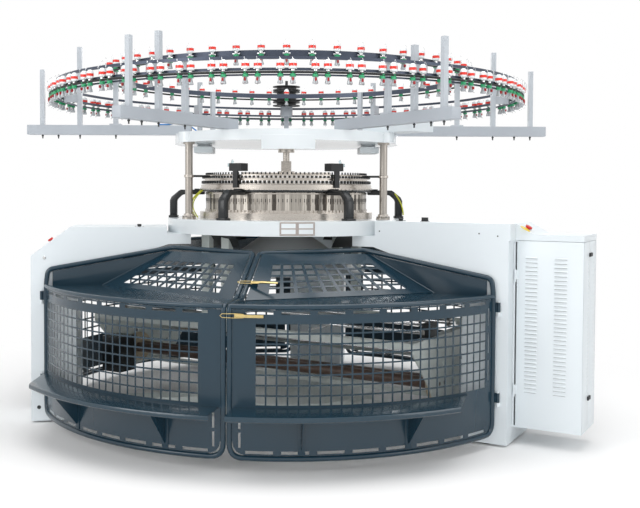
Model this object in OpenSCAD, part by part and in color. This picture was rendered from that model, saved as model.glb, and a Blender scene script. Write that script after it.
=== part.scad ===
// Large-diameter circular knitting machine: a rotating needle cylinder and dial on a round bed,
// three box legs, a turning take-down frame behind hinged guard doors, and a ring of yarn feeders
// on six beams. Origin on the floor under the machine axis, +Z up, the front faces -Y.

/* [Bed] */
// Outer radius of the round bed table
table_r = 819; // [800:1:840]
// Height of the bed table's rim
table_h = 94; // [90:1:104]
// Height of the bed table's top above the floor
table_top_z = 1308; // [1290:1:1330]
// Radius of the floor platform under the take-down frame
platform_r = 620; // [480:5:680]
// Height of the floor platform's top above the floor
platform_top_z = 130; // [100:1:140]

/* [Knitting head] */
// Outer radius of the needle cylinder
needle_r = 482; // [470:1:485]
// Wall of the needle cylinder
needle_wall = 12; // [8:1:20]
// Outer radius of the cylinder cam ring
cam_r = 558; // [550:1:566]
// Height of a cylinder cam section
cam_h = 116; // [100:1:116]
// Number of cylinder cam sections
cam_count = 125; // [90:1:130]
// Outer radius of the yarn ring
yarn_ring_r = 600; // [592:1:606]
// Number of dial cam adjusters in a row
adjuster_count = 72; // [36:1:90]

/* [Legs] */
// Width of each leg
leg_w = 435; // [415:5:455]
// Distance of a leg column's inner face from the machine axis
column_s = 1404; // [1400:1:1415]
// Height of the underside of a leg's arm
arm_z = 1146; // [1142:1:1150]
// Thickness of the leg plates
leg_wall = 6; // [4:1:8]
// Direction of the right leg, in degrees from +X
right_az = -30; // [-31:0.5:-29]
// Direction of the left leg, in degrees from +X
left_az = -172; // [-173:0.5:-171]
// Direction of the rear leg, in degrees from +X
rear_az = 79.5; // [78:0.5:81]

/* [Guard doors] */
// Radius of the curved guard wall
guard_r = 1640; // [1625:1:1655]
// Diameter of the guard frame's tube
tube_d = 30; // [24:1:34]
// Height of the guard wall's lower tube
guard_low_z = 81; // [70:1:100]
// Height of the guard wall's upper tube
guard_high_z = 885; // [860:1:900]
// Height of the standing step on the front doors
step_z = 345; // [330:1:360]
// Depth of the standing step
step_d = 205; // [150:1:215]
// Columns of openings in a door screen
screen_cols = 17; // [10:1:18]
// Rows of openings in a door screen
screen_rows = 5; // [4:1:5]

/* [Upper works] */
// Height of the top plate's underside
top_plate_z = 1811; // [1790:1:1830]
// Radius of the top plate
top_plate_r = 771; // [765:1:780]
// Thickness of the top plate with its cover
top_plate_h = 68; // [62:1:74]
// Length of a feeder beam past the lower feeder ring
beam_past_ring = 250; // [210:5:280]
// Height of a feeder beam
beam_h = 67; // [50:1:80]
// Width of a feeder beam
beam_w = 64; // [50:1:80]
// Radius of the lower feeder ring's inside
feeder_ring_r = 1550; // [1545:1:1556]
// Radius of the upper feeder ring's inside
upper_ring_r = 1206; // [1200:1:1212]
// Feeder groups in each sixth of the ring
groups = 9; // [5:1:9]

/* [Take-down frame] */
// Half length of the take-down frame
frame_half = 1250; // [1200:1:1260]
// Half width of the take-down frame at its top
frame_wide = 600; // [560:1:610]
// Radius of a take-down roller
roller_r = 36; // [28:1:37]

/* [Hidden] */
$fn = 96;

// Clearances
seat_gap = 0.3;
run_gap = 0.05;

// Floor and bed
foot_h = 12;
foot_r = 45;
floor_beam_w = 160;
table_low_z = table_top_z - table_h;
table_plate = 38;
table_rim = 24;
bore_r = needle_r + 10;

// Gear train: both big gears mesh with the pinions of the vertical drive shaft
gear_module = 5;
big_teeth = 276;
pinion_teeth = 20;
big_pitch_r = gear_module * big_teeth / 2;
pinion_pitch_r = gear_module * pinion_teeth / 2;
shaft_s = big_pitch_r + pinion_pitch_r;
gear_inner_r = 560;
gear_h = 30;
gear_z = table_low_z + 14;
shaft_r = 12;
pulley_r = 50;
pulley_h = 30;
pulley_z = arm_z + leg_wall + 12;
motor_s = column_s + 136;
motor_r = 90;
motor_h = 340;

// Head heights, stacked up from the bed
base_ring_r = cam_r + 42;
base_ring_h = 42;
cam_z = table_top_z + 60;
needle_top_z = table_top_z + 188;
yarn_ring_z = table_top_z + 192;
yarn_ring_h = 35;
dial_z = needle_top_z + 4;
dial_r = needle_r - 2;
dial_ring_z = yarn_ring_z + 38;
dial_ring_h = 62;
dial_ring_r = yarn_ring_r - 21;
dial_ring_inner = 300;
dial_shaft_r = 14;

// Upper works
pillar_r = 25;
pillar_bore = 17;
pillar_az = [-30, -150, 90];
top_floor = 12;
top_cover_h = 12;
top_z = top_plate_z + top_plate_h;
upper_gear_z = top_plate_z + top_floor + 9;
upper_gear_h = 20;
lug_r = 70;
beam_az = [0, 60, 120, 180, 240, 300];
beam_in = 663;
beam_reach = feeder_ring_r + beam_past_ring;
beam_top_z = top_z + beam_h;
outer_post_s = beam_reach - 100;
tall_post_s = feeder_ring_r - 110;
short_post_s = upper_ring_r - 16 - seat_gap;
post_w = 32;
outer_post_top = 2330;
short_post_top = 2290;
tall_post_tops = [2459, 2390, 2390, 2487, 2390, 2317];
lower_bar_z = [2105, 2132, 2192];
lower_bar_h = [8, 14, 16];
bar_t = 18;
upper_ring_z = 2258;
upper_ring_h = 34;
upper_ring_t = 12;
feeder_cap_r = 21;
feeder_arm = 22;
stack_y = 1480;
feeder_belt_z = 2112;
upper_belt_z = 2242;

// Take-down frame
takedown_az = -32.4;
rail_w = 50;
rail_h = 40;
rail_z = 575;
rail_y = frame_wide - rail_w / 2;
plate_t = 10;
frame_low_z = platform_top_z + 50;
roller_z = 315;
roller_gap = 4;
roller_y = -165;
journal_r = 14;
hanger_x = [-90, -250];
hanger_w = 60;
cone_top_z = table_low_z - 4;
cone_flange_r = norm([abs(hanger_x[0]) - hanger_w / 2, rail_y - rail_w / 2]) - seat_gap;
cone_low_z = 940;

// Guard doors: azimuths of the leaves and the depth of each leg's face in front of the axis
left_front_y = 355;
right_front_y = 330;
seam_az = -101;
seam_off = tube_d / 2 + 1.5;
leaf_leg_gap = 25;
right_hinge_az = right_az - 90 + acos((right_front_y + leaf_leg_gap) / guard_r);
left_hinge_az = left_az + 90 - acos((left_front_y + leaf_leg_gap) / guard_r);
rear_right_leg_az = right_az + 90 - acos((leg_w - right_front_y + leaf_leg_gap) / guard_r);
rear_left_leg_az = left_az - 90 + acos((leg_w - left_front_y + leaf_leg_gap) / guard_r) + 360;
rear_leg_half = 90 - acos((leg_w / 2 + leaf_leg_gap) / guard_r);
wall_t = 2;
rim_z = 1126;
rim_seam_r = 930;
slot_l = 137;
slot_h = 16;
screen_low_z = 360;
screen_high_z = 799;
knuckle_r = 10;
pin_r = 6;
pin_out = 16;
pin_side = 30;
hinge_low_z = [240, 770];

// Cabinet on the end of the right leg
cab_s0 = 1682;
cab_s1 = 2084;
cab_front = 225;
cab_back = 105;
cab_low_z = 104;
cab_high_z = 1208;
cover_t = 3;
column_end = 1680;
box_low_z = 1210;
box_top_z = 1309;
box_step_z = 1246;

// Ground rules for placing pieces
module at_az(az) rotate([0, 0, az]) children();
module on_circle(n, r, start = 0) {
    for (i = [0 : n - 1]) at_az(start + i * 360 / n) translate([r, 0, 0]) children();
}
module block(x0, x1, y0, y1, z0, z1) translate([x0, y0, z0]) cube([x1 - x0, y1 - y0, z1 - z0]);
module ring(r_out, r_in, z0, z1) {
    translate([0, 0, z0]) difference() {
        cylinder(r = r_out, h = z1 - z0);
        translate([0, 0, -1]) cylinder(r = r_in, h = z1 - z0 + 2);
    }
}
module disc(r, z0, z1) translate([0, 0, z0]) cylinder(r = r, h = z1 - z0);
// A flat outline in the (distance, height) plane, given a width across
module side_prism(points, y0, y1) {
    translate([0, y1, 0]) rotate([90, 0, 0]) linear_extrude(height = y1 - y0) polygon(points);
}
function on_arc(r, az, z) = [r * cos(az), r * sin(az), z];

// A tube swept along a route of points, each ring square to the route
function unit(v) = v / norm(v);
function route_dir(p, i) = unit(p[min(i + 1, len(p) - 1)] - p[max(i - 1, 0)]);
function side_of(d) = abs(d[2]) > 0.95 ? unit(cross(d, [0, 1, 0])) : unit(cross(d, [0, 0, 1]));
function carried(p, i, u) = i == len(p) ? [] :
    let (d = route_dir(p, i), w = unit(u - (u * d) * d)) concat([w], carried(p, i + 1, w));
module tube_along(p, r, sides = 8) {
    n = len(p);
    sideways = carried(p, 0, side_of(route_dir(p, 0)));
    rings = [for (i = [0 : n - 1]) let (u = sideways[i], v = cross(route_dir(p, i), u))
        for (k = [0 : sides - 1]) p[i] + r * (cos(k * 360 / sides) * u + sin(k * 360 / sides) * v)];
    walls = [for (i = [0 : n - 2]) for (k = [0 : sides - 1]) let (m = (k + 1) % sides)
        [i * sides + k, (i + 1) * sides + k, (i + 1) * sides + m, i * sides + m]];
    near = [[for (k = [0 : sides - 1]) k]];
    far = [[for (k = [sides - 1 : -1 : 0]) (n - 1) * sides + k]];
    polyhedron(points = rings, faces = concat(walls, near, far));
}

// Floor base
module base_frame() color("gainsboro") {
    disc(platform_r, foot_h, platform_top_z);
    leg_floor_beam(right_az, -right_front_y, leg_w - right_front_y);
    leg_floor_beam(left_az, left_front_y - leg_w, left_front_y);
    leg_floor_beam(rear_az, -leg_w / 2, leg_w / 2);
}
module leg_floor_beam(az, y0, y1) {
    mid = (y0 + y1) / 2;
    at_az(az) block(platform_r * 0.5, column_s, mid - floor_beam_w / 2, mid + floor_beam_w / 2,
        foot_h + 6, platform_top_z - 20);
}
module levelling_feet() color("dimgray") {
    disc(foot_r * 2, 0, foot_h);
    on_circle(3, platform_r - 90, 30) disc(foot_r, 0, foot_h);
    leg_feet(right_az, -right_front_y, leg_w - right_front_y);
    leg_feet(left_az, left_front_y - leg_w, left_front_y);
    leg_feet(rear_az, -leg_w / 2, leg_w / 2);
}
foot_in = 70;
module leg_feet(az, y0, y1) {
    at_az(az) for (y = [y0 + foot_in, y1 - foot_in]) translate([(column_s + column_end) / 2, y, 0])
        disc(foot_r, 0, foot_h);
}

// Legs: a hollow welded box, a column on the floor and an arm under the bed
arm_s = 676;
bed_edge_s = table_r + 12;
// The arm deepens towards its column behind the upright plates of the doors
haunch_s = 820;
haunch_z = 960;
haunch = atan2(arm_z - haunch_z, column_s - haunch_s);
function arm_underside(t) = [[arm_s + t, table_low_z - t], [arm_s + t, arm_z + t],
    [haunch_s + t * tan(haunch / 2), arm_z + t],
    [column_s + t, haunch_z - t * tan(haunch) + t / cos(haunch)]];
function leg_outline(t, end_s, top_z) = concat([
    [column_s + t, foot_h + t], [end_s - t, foot_h + t], [end_s - t, top_z - t],
    [bed_edge_s + t, top_z - t], [bed_edge_s + t, table_low_z - t]], arm_underside(t));
module leg_box(y0, y1, end_s, top_z) {
    difference() {
        side_prism(leg_outline(0, end_s, top_z), y0, y1);
        side_prism(leg_outline(leg_wall, end_s, top_z), y0 + leg_wall, y1 - leg_wall);
    }
}
left_end_s = 1694;
left_top_z = 1256;
left_bevel_s = 1451;
left_bevel_z = 1075;
function left_outline(t) = let (slope = atan2(left_top_z - left_bevel_z, left_end_s - left_bevel_s)) concat([
    [column_s + t, foot_h + t], [left_end_s - t, foot_h + t],
    [left_end_s - t, left_bevel_z - t * tan(45 - slope / 2)],
    [left_bevel_s - t * tan(slope / 2), left_top_z - t],
    [bed_edge_s + t, left_top_z - t], [bed_edge_s + t, table_low_z - t]], arm_underside(t));
module left_leg() color("whitesmoke") at_az(left_az) {
    difference() {
        side_prism(left_outline(0), left_front_y - leg_w, left_front_y);
        side_prism(left_outline(leg_wall), left_front_y - leg_w + leg_wall, left_front_y - leg_wall);
        on_left_bevel(0) button_bore();
        on_left_top() button_bore();
    }
    translate([hinge_s(left_front_y), left_front_y, 0]) hinge_pin(1);
    translate([hinge_s(leg_w - left_front_y), left_front_y - leg_w, 0]) hinge_pin(-1);
}
button_r = 11;
button_travel = 4;
module button_bore() translate([0, 0, -leg_wall - 1]) cylinder(r = button_r + 0.5, h = leg_wall + 3);
module on_left_bevel(lift) {
    slope = atan2(left_top_z - left_bevel_z, left_end_s - left_bevel_s);
    translate([(left_bevel_s + left_end_s) / 2, left_front_y - 90, (left_top_z + left_bevel_z) / 2])
        rotate([0, slope, 0]) translate([0, 0, lift]) children();
}
module on_left_top() translate([1010, left_front_y - 90, left_top_z]) children();
module right_leg() color("whitesmoke") at_az(right_az) {
    difference() {
        leg_box(-right_front_y, leg_w - right_front_y, column_end, box_low_z);
        translate([shaft_s, 0, table_low_z - leg_wall - 1]) cylinder(r = shaft_r + 3, h = leg_wall + 2);
    }
    translate([hinge_s(right_front_y), -right_front_y, 0]) hinge_pin(-1);
    translate([hinge_s(leg_w - right_front_y), leg_w - right_front_y, 0]) hinge_pin(1);
}
module rear_leg() color("whitesmoke") at_az(rear_az) leg_box(-leg_w / 2, leg_w / 2, column_end, box_low_z);

// Control box on the right leg, stepped down over the cabinet
box_s0 = bed_edge_s;
slope_s0 = 1690;
slope_s1 = 1800;
jog_s = 960;
knob_s = 1120;
estop_s = (slope_s0 + slope_s1) / 2;
button_y = -right_front_y + 110;
module control_box() color("white") at_az(right_az) {
    slope = atan2(box_top_z - box_step_z, slope_s1 - slope_s0);
    difference() {
        union() {
            side_prism([[box_s0, box_low_z], [slope_s0, box_low_z], [slope_s0, box_top_z],
                [box_s0, box_top_z]], -right_front_y, leg_w - right_front_y);
            side_prism([[slope_s0 - 60, box_low_z], [cab_s1, box_low_z], [cab_s1, box_step_z],
                [slope_s1, box_step_z], [slope_s0, box_top_z], [slope_s0 - 60, box_top_z]],
                -cab_front, cab_back);
        }
        block(box_s0 + 30, slope_s0 - 30, 20 - right_front_y, leg_w - right_front_y - 20,
            box_low_z - 1, box_top_z - leg_wall);
        translate([jog_s, button_y, box_top_z]) button_bore();
        translate([knob_s, button_y, box_top_z - leg_wall - 1]) cylinder(r = 8.05, h = leg_wall + 2);
        translate([estop_s, button_y + 60, (box_top_z + box_step_z) / 2]) rotate([0, slope, 0])
            translate([0, 0, -20]) cylinder(r = button_r + 0.5, h = 22);
    }
}
module push_button(cap_r, depth = leg_wall + 6) {
    translate([0, 0, -depth]) cylinder(r = button_r, h = depth + button_travel + 1);
    translate([0, 0, button_travel + 1]) cylinder(r = cap_r, h = 12);
}
module emergency_button() color("red") at_az(right_az) {
    slope = atan2(box_top_z - box_step_z, slope_s1 - slope_s0);
    translate([estop_s, button_y + 60, (box_top_z + box_step_z) / 2]) rotate([0, slope, 0])
        push_button(20, 12);
}
module right_jog_button() color("red") at_az(right_az)
    translate([jog_s, button_y, box_top_z]) push_button(14);
module selector_knob() color("black") at_az(right_az) translate([knob_s, button_y, box_top_z]) {
    disc(22, 1, 11);
    block(-20, 20, -6, 6, 10.5, 25);
    disc(8, -leg_wall - 6, 2);
}
module left_jog_button() color("red") at_az(left_az) on_left_top() push_button(14);
module left_stop_button() color("red") at_az(left_az) on_left_bevel(0) push_button(18);

// Bed table: a pan turned over, with the big gear running inside it
boss_in_r = big_pitch_r + 20;
module bed_table() color("white") difference() {
    disc(table_r, table_low_z, table_top_z);
    difference() {
        disc(table_r - table_rim, table_low_z - 1, table_top_z - table_plate);
        for (az = pillar_az) at_az(az) translate([boss_in_r, -80, table_low_z - 2])
            cube([table_r - boss_in_r - 10, 160, table_h]);
    }
    disc(bore_r, table_low_z - 1, table_top_z + 1);
    for (az = pillar_az) at_az(az) translate([shaft_s, 0, 0]) {
        disc(pinion_pitch_r + 10, table_low_z - 1, table_top_z - table_plate);
        disc(shaft_r + run_gap, table_low_z - 1, table_top_z + 1);
    }
}
module nameplate(r, x0, x1, z0, z1) intersection() {
    ring(r + seat_gap + 3, r + seat_gap, z0, z1);
    block(x0, x1, -r - 10, -r * 0.9, z0, z1);
}
module nameplates() color("silver") {
    nameplate(table_r, -39, 177, table_top_z - 88, table_top_z - 4);
    nameplate(top_plate_r, -154, 179, top_plate_z - 58, top_plate_z + 30);
}

// Gears with plain trapezoid teeth
function gear_points(teeth, m, top, root) = [for (i = [0 : teeth - 1]) for (q = [
        [-0.34, -root], [-0.15, top], [0.15, top], [0.34, -root]])
    let (a = (i + q[0]) * 360 / teeth, r = m * teeth / 2 + q[1] * m) [r * cos(a), r * sin(a)]];
module gear(teeth, h) linear_extrude(height = h) polygon(gear_points(teeth, gear_module, 0.7, 1.05));
module gear_ring() color("slategray") difference() {
    translate([0, 0, gear_z]) rotate([0, 0, right_az]) gear(big_teeth, gear_h);
    disc(gear_inner_r, gear_z - 1, gear_z + gear_h + 1);
}
module drive_shaft() color("lightslategray") at_az(right_az) translate([shaft_s, 0, 0]) {
    disc(shaft_r, pulley_z, upper_gear_z + upper_gear_h + 6);
    translate([0, 0, gear_z]) rotate([0, 0, 180 + 180 / pinion_teeth]) gear(pinion_teeth, gear_h);
    translate([0, 0, upper_gear_z]) rotate([0, 0, 180 + 180 / pinion_teeth]) gear(pinion_teeth, upper_gear_h);
    disc(pulley_r, pulley_z, pulley_z + pulley_h);
}
module motor_pulley() color("slategray") at_az(right_az) translate([motor_s, 0, 0]) {
    disc(shaft_r, motor_top_z() + seat_gap, pulley_z + pulley_h + 5);
    disc(pulley_r, pulley_z, pulley_z + pulley_h);
}
function motor_top_z() = pulley_z - 90;
module drive_motor() color("darkslategray") at_az(right_az) {
    translate([motor_s, 0, 0]) {
        disc(motor_r, motor_top_z() - motor_h, motor_top_z());
        for (i = [0 : 11]) at_az(i * 30)
            block(0, motor_r + 6, -2, 2, motor_top_z() - motor_h + 20, motor_top_z() - 60);
    }
    block(column_s + leg_wall, column_end - leg_wall, leg_wall - right_front_y,
        leg_w - right_front_y - leg_wall, motor_top_z() - 14, motor_top_z());
}
feeder_s = feeder_ring_r + bar_t + feeder_arm;
upper_feeder_s = upper_ring_r + upper_ring_t + feeder_arm;
feeder_core_r = 13;
belt_gap = seat_gap;
module belts() color("black") {
    at_az(right_az) translate([0, 0, pulley_z + 3]) linear_extrude(height = pulley_h - 6) difference() {
        belt_loop(pulley_r + belt_gap + 5);
        belt_loop(pulley_r + belt_gap);
    }
    feeder_belt(feeder_s + feeder_core_r * cos(30), feeder_belt_z);
    feeder_belt(upper_feeder_s + feeder_core_r * cos(30), upper_belt_z);
}
module feeder_belt(r, z) ring(r + belt_gap + 4, r + belt_gap, z, z + 12);
module belt_loop(r) hull() {
    translate([shaft_s, 0]) circle(r = r, $fn = 32);
    translate([motor_s, 0]) circle(r = r, $fn = 32);
}

// Pillars, hollow so that the drive shaft runs up inside the right one
module pillars() color("silver") for (az = pillar_az) at_az(az) translate([shaft_s, 0, 0]) difference() {
    union() {
        disc(pillar_r, table_top_z, top_plate_z);
        disc(45, table_top_z, table_top_z + 12);
        disc(38, top_plate_z - 12, top_plate_z);
    }
    disc(pillar_bore, table_top_z - 1, top_plate_z + 1);
}

// Head: rings and cam sections
module base_ring() color("silver") difference() {
    union() {
        ring(base_ring_r, bore_r, table_top_z, table_top_z + base_ring_h);
        ring(cam_r + 6, bore_r, table_top_z + base_ring_h - 2, cam_z);
    }
    on_circle(cam_count, cam_r + 6, 0) block(-9, 9, -4, 4, table_top_z + base_ring_h + 5, cam_z + 1);
}
module cam_sections() color("tan") {
    half_out = cam_r * tan(180 / cam_count) - 0.6;
    half_in = (bore_r + 2) * tan(180 / cam_count) - 0.6;
    on_circle(cam_count, 0, 180 / cam_count) translate([0, 0, cam_z]) difference() {
        linear_extrude(height = cam_h) polygon([[bore_r + 2, -half_in], [cam_r, -half_out],
            [cam_r, half_out], [bore_r + 2, half_in]]);
        block(cam_r - 7, cam_r + 1, -3.5, 3.5, cam_h * 0.34, cam_h * 0.66);
    }
}
module needle_cylinder() color("lightsteelblue") {
    ring(needle_r, needle_r - needle_wall, gear_z + gear_h, needle_top_z);
    ring(gear_inner_r + 40, needle_r - needle_wall, gear_z + gear_h, gear_z + gear_h + 9);
}
module yarn_ring() color("silver") {
    ring(yarn_ring_r, yarn_ring_r - 40, yarn_ring_z, yarn_ring_z + 14);
    ring(yarn_ring_r - 8, yarn_ring_r - 20, yarn_ring_z + 10, yarn_ring_z + yarn_ring_h);
}
bracket_s = 786;
bracket_w = 50;
module ring_brackets() color("darkslategray") for (az = [0 : 60 : 300]) at_az(az) {
    arm_in = yarn_ring_r - 32;
    side_prism([[bracket_s - 30, table_top_z], [bracket_s + 32, table_top_z],
        [bracket_s + 32, table_top_z + 14], [bracket_s + 25, table_top_z + 14],
        [bracket_s + 25, table_top_z + 118], [bracket_s - 50, yarn_ring_z], [arm_in, yarn_ring_z],
        [arm_in, yarn_ring_z - 34], [bracket_s - 68, yarn_ring_z - 34],
        [bracket_s - 25, table_top_z + 100], [bracket_s - 25, table_top_z + 14],
        [bracket_s - 30, table_top_z + 14]], -bracket_w / 2, bracket_w / 2);
}
module dial_cam_ring() color("silver") {
    ring(dial_ring_r, dial_ring_inner, dial_ring_z, dial_ring_z + 26);
    ring(dial_ring_r - 14, dial_ring_inner, dial_ring_z + 25, dial_ring_z + 36);
    ring(dial_ring_r - 2, dial_ring_inner, dial_ring_z + 35, dial_ring_z + dial_ring_h);
}
adjuster_h = 16;
module cam_adjusters() color("dimgray") {
    on_circle(adjuster_count, dial_ring_r) block(seat_gap, 11, -4, 4, dial_ring_z + 6, dial_ring_z + 20);
    on_circle(adjuster_count, dial_ring_r - 22, 180 / adjuster_count)
        block(-6, 6, -5, 5, dial_ring_z + dial_ring_h, dial_ring_z + dial_ring_h + adjuster_h);
}

// Dial: a turning disc on the centre shaft, driven from the gear in the top plate
spider_h = 20;
module dial_hub() color("silver") difference() {
    spider_z = dial_ring_z + dial_ring_h;
    union() {
        disc(57, top_plate_z - 50, top_plate_z);
        disc(23, spider_z, top_plate_z - 40);
        block(-35, 35, -35, 35, spider_z + spider_h + 5, spider_z + spider_h + 80);
        for (i = [0 : 5]) at_az(30 + i * 60)
            block(0, dial_ring_inner + 40, -20, 20, spider_z, spider_z + spider_h);
        disc(60, spider_z, spider_z + spider_h + 10);
    }
    disc(dial_shaft_r + run_gap, spider_z - 1, top_plate_z + 1);
}
module dial() color("lightsteelblue") {
    disc(dial_r, dial_z, dial_z + 16);
    disc(60, dial_z, dial_z + 40);
    disc(dial_shaft_r, dial_z, upper_gear_z + upper_gear_h + 4);
}
module dial_gear() color("slategray") difference() {
    translate([0, 0, upper_gear_z]) rotate([0, 0, right_az]) gear(big_teeth, upper_gear_h);
    on_circle(6, big_pitch_r * 0.6, 30)
        disc(big_pitch_r * 0.24, upper_gear_z - 1, upper_gear_z + upper_gear_h + 1);
    disc(dial_shaft_r + run_gap, upper_gear_z - 1, upper_gear_z + upper_gear_h + 1);
}

// Top plate and its cover, with a rounded lug over each pillar
module plate_outline(z0, z1) {
    disc(top_plate_r, z0, z1);
    for (az = pillar_az) at_az(az) translate([shaft_s, 0, 0]) disc(lug_r, z0, z1);
}
module top_plate() color("white") difference() {
    plate_outline(top_plate_z, top_z - top_cover_h);
    disc(top_plate_r - 14, top_plate_z + top_floor, top_z);
    at_az(right_az) translate([shaft_s, 0, 0]) {
        disc(pinion_pitch_r + 8, top_plate_z + top_floor, top_z);
        disc(shaft_r + run_gap, top_plate_z - 1, top_z);
    }
    disc(dial_shaft_r + run_gap, top_plate_z - 1, top_z);
}
module top_cover() color("white") plate_outline(top_z - top_cover_h, top_z);
module work_lamps() color("ghostwhite") for (side = [-1, 1]) translate([side * 570, 0, top_plate_z]) {
    block(-45, 45, -60, 60, -14, 0);
    block(-65, 65, -115, 115, -56, -14);
}

// Lint fans on the yarn ring
fan_az = [-123, -57];
fan_axis_z = 1660;
fan_blade = 40;
module fan_motors() color("black") for (az = fan_az) at_az(az) {
    z0 = dial_ring_z + dial_ring_h + adjuster_h + 6;
    block(yarn_ring_r - 8 + seat_gap, yarn_ring_r + 6, -18, 18, yarn_ring_z + 14, z0 + 50);
    block(yarn_ring_r - 70, yarn_ring_r + 6, -48, 48, z0, z0 + 50);
}
module fan(side) {
    translate([yarn_ring_r - 32, side * (48 + seat_gap), fan_axis_z]) rotate([-side * 90, 0, 0]) {
        cylinder(r = 9, h = 18);
        for (i = [0 : 2]) rotate([0, 0, i * 120]) translate([6, -11, 8]) cube([fan_blade - 8, 22, 2]);
    }
}
module left_fan() color("lightcyan") at_az(fan_az[0]) fan(-1);
module right_fan() color("lightcyan") at_az(fan_az[1]) fan(1);

// Terminal box on the top cover
module junction_box() color("white") translate([510, -262, top_z]) rotate([0, 0, -49]) difference() {
    block(0, 434, 0, 210, 0, 100);
    block(4, 430, 4, 206, 4, 96);
}

// Cables clipped along their whole run: signal leads to the left beam, feeder and lamp wires
lead_r = 5;
wire_r = 4;
function lead_point(i, t) = let (
    from = [-600, 70 + 18 * i, top_z + lead_r + seat_gap],
    to = [-830, (i - 1.5) * 14, beam_top_z + lead_r + seat_gap])
    from + (to - from) * t + [0, 0, 45 * sin(180 * t)];
function wire_point(i, t) = on_arc(640 - 46 * t + 50 * sin(180 * t), -168 + 5 * i - 5 * t,
    (table_top_z + wire_r + seat_gap) * (1 - t) + (yarn_ring_z - 0.82 * wire_r) * t);
module cable_runs() {
    color("steelblue") for (i = [0 : 3]) tube_along(concat([lead_point(i, 0) + [40, 0, 0]],
        [for (t = [0 : 0.1 : 1]) lead_point(i, t)], [lead_point(i, 1) - [60, 0, 0]]), lead_r, 6);
    color("yellowgreen") for (i = [0 : 2]) tube_along([for (t = [0 : 0.1 : 1]) wire_point(i, t)], wire_r, 6);
    color("yellowgreen") tube_along([for (t = [0 : 0.125 : 1])
        [bracket_s + 30 - 60 * t * t, -bracket_w / 2 - lead_r, table_top_z + 20 + 150 * t]], lead_r, 6);
}

// Feeder beams with the carrier arm of the belt pulleys
module beam_tube(s0, s1, w, h, z) difference() {
    block(s0, s1, -w / 2, w / 2, z, z + h);
    block(s0 - 1, s1 + 1, -w / 2 + 4, w / 2 - 4, z + 4, z + h - 4);
}
stack_arm_h = 50;
hub_low_z = 2125;
hub_top_z = 2212;
module feeder_beams() color("lightslategray") {
    for (az = beam_az) at_az(az) beam_tube(beam_in, beam_reach, beam_w, beam_h, top_z);
    at_az(90) {
        block(640, stack_y + 40, -30, 30, top_z, top_z + stack_arm_h);
        block(stack_y - 20, stack_y + 20, -20, 20, top_z + stack_arm_h, hub_low_z);
        translate([stack_y, 0, 0]) ring(52, shaft_r + run_gap, hub_low_z, hub_top_z);
    }
}
stack_discs = 4;
stack_disc_r = 117;
stack_pitch = 44;
module pulley_stack() color("black") translate([0, stack_y, 0]) {
    disc(shaft_r, hub_low_z + 6, hub_top_z + 10 + stack_discs * stack_pitch + 34);
    for (i = [0 : stack_discs - 1]) {
        z0 = hub_top_z + 5 + i * stack_pitch;
        disc(stack_disc_r, z0, z0 + 7);
        disc(stack_disc_r - 34, z0, z0 + 38);
        disc(stack_disc_r, z0 + 28, z0 + 35);
    }
}
module feeder_posts() color("lightslategray") for (i = [0 : 5]) at_az(beam_az[i]) {
    block(outer_post_s - 15, outer_post_s + 15, -15, 15, beam_top_z, outer_post_top);
    block(tall_post_s - post_w / 2, tall_post_s + post_w / 2, -16, 16, beam_top_z, tall_post_tops[i]);
    block(tall_post_s + post_w / 2 - 1, feeder_ring_r - seat_gap, -4, 4,
        lower_bar_z[0], lower_bar_z[2] + lower_bar_h[2]);
    block(short_post_s - post_w / 2, short_post_s + post_w / 2, -16, 16, beam_top_z, short_post_top);
    block(short_post_s - 40, short_post_s + 40, -28, 28, beam_top_z, beam_top_z + 10);
}
module feeder_rings() color("silver") {
    for (k = [0 : 2])
        ring(feeder_ring_r + bar_t, feeder_ring_r, lower_bar_z[k], lower_bar_z[k] + lower_bar_h[k]);
    ring(upper_ring_r + upper_ring_t, upper_ring_r, upper_ring_z, upper_ring_z + upper_ring_h);
}

// Yarn feeders: nine groups to each sixth of the ring, two on the lower bars and one on the upper ring
feeder_arm_h = 14;
lower_feeder = [72, 18, 34];
upper_feeder = [57, 34, 36];
module feeder(arm_z, drop, rise, cap_h) translate([0, 0, arm_z]) rotate([0, 0, 30]) {
    translate([0, 0, -drop]) cylinder(r = feeder_core_r, h = drop + rise + 1, $fn = 6);
    translate([0, 0, rise]) cylinder(r = feeder_cap_r, h = cap_h, $fn = 6);
    rotate([0, 0, -30]) block(seat_gap - feeder_arm, -5, -6, 6, 0, feeder_arm_h);
}
module yarn_feeders() color("forestgreen") for (i = [0 : 6 * groups - 1]) at_az((i + 0.5) * 60 / groups) {
    for (side = [-1, 1]) at_az(side * 1.19) translate([feeder_s, 0, 0])
        feeder(lower_bar_z[1], lower_feeder[0], lower_feeder[1], lower_feeder[2]);
    translate([upper_feeder_s, 0, 0])
        feeder(upper_ring_z + 4, upper_feeder[0], upper_feeder[1], upper_feeder[2]);
}

// Take-down frame that turns with the needle cylinder
module in_frame() rotate([0, 0, takedown_az]) children();
module takedown_frame() color("lightslategray") in_frame() {
    rail_end = frame_half - plate_t;
    for (turn = [0, 180]) rotate([0, 0, turn]) {
        block(-rail_end, rail_end, rail_y - rail_w / 2, rail_y + rail_w / 2, rail_z, rail_z + rail_h);
        block(rail_end - rail_w, rail_end, -rail_y, rail_y, rail_z, rail_z + rail_h);
        for (x = hanger_x) block(-x - hanger_w / 2, -x + hanger_w / 2, rail_y - rail_w / 2,
            rail_y + rail_w / 2, rail_z + rail_h - 1, gear_z);
    }
    block(-rail_end, rail_end, -25, 25, frame_low_z + 5, frame_low_z + 35);
    for (y = [-235, -195]) translate([-rail_end, y, 535]) rotate([0, 90, 0])
        cylinder(r = 12, h = 2 * rail_end);
}
plate_low_half = 250;
plate_mid_half = 333;
plate_mid_z = 294;
plate_wide_z = 556;
winding_y = 150;
winding_z = 430;
winding_r = 30;
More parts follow.
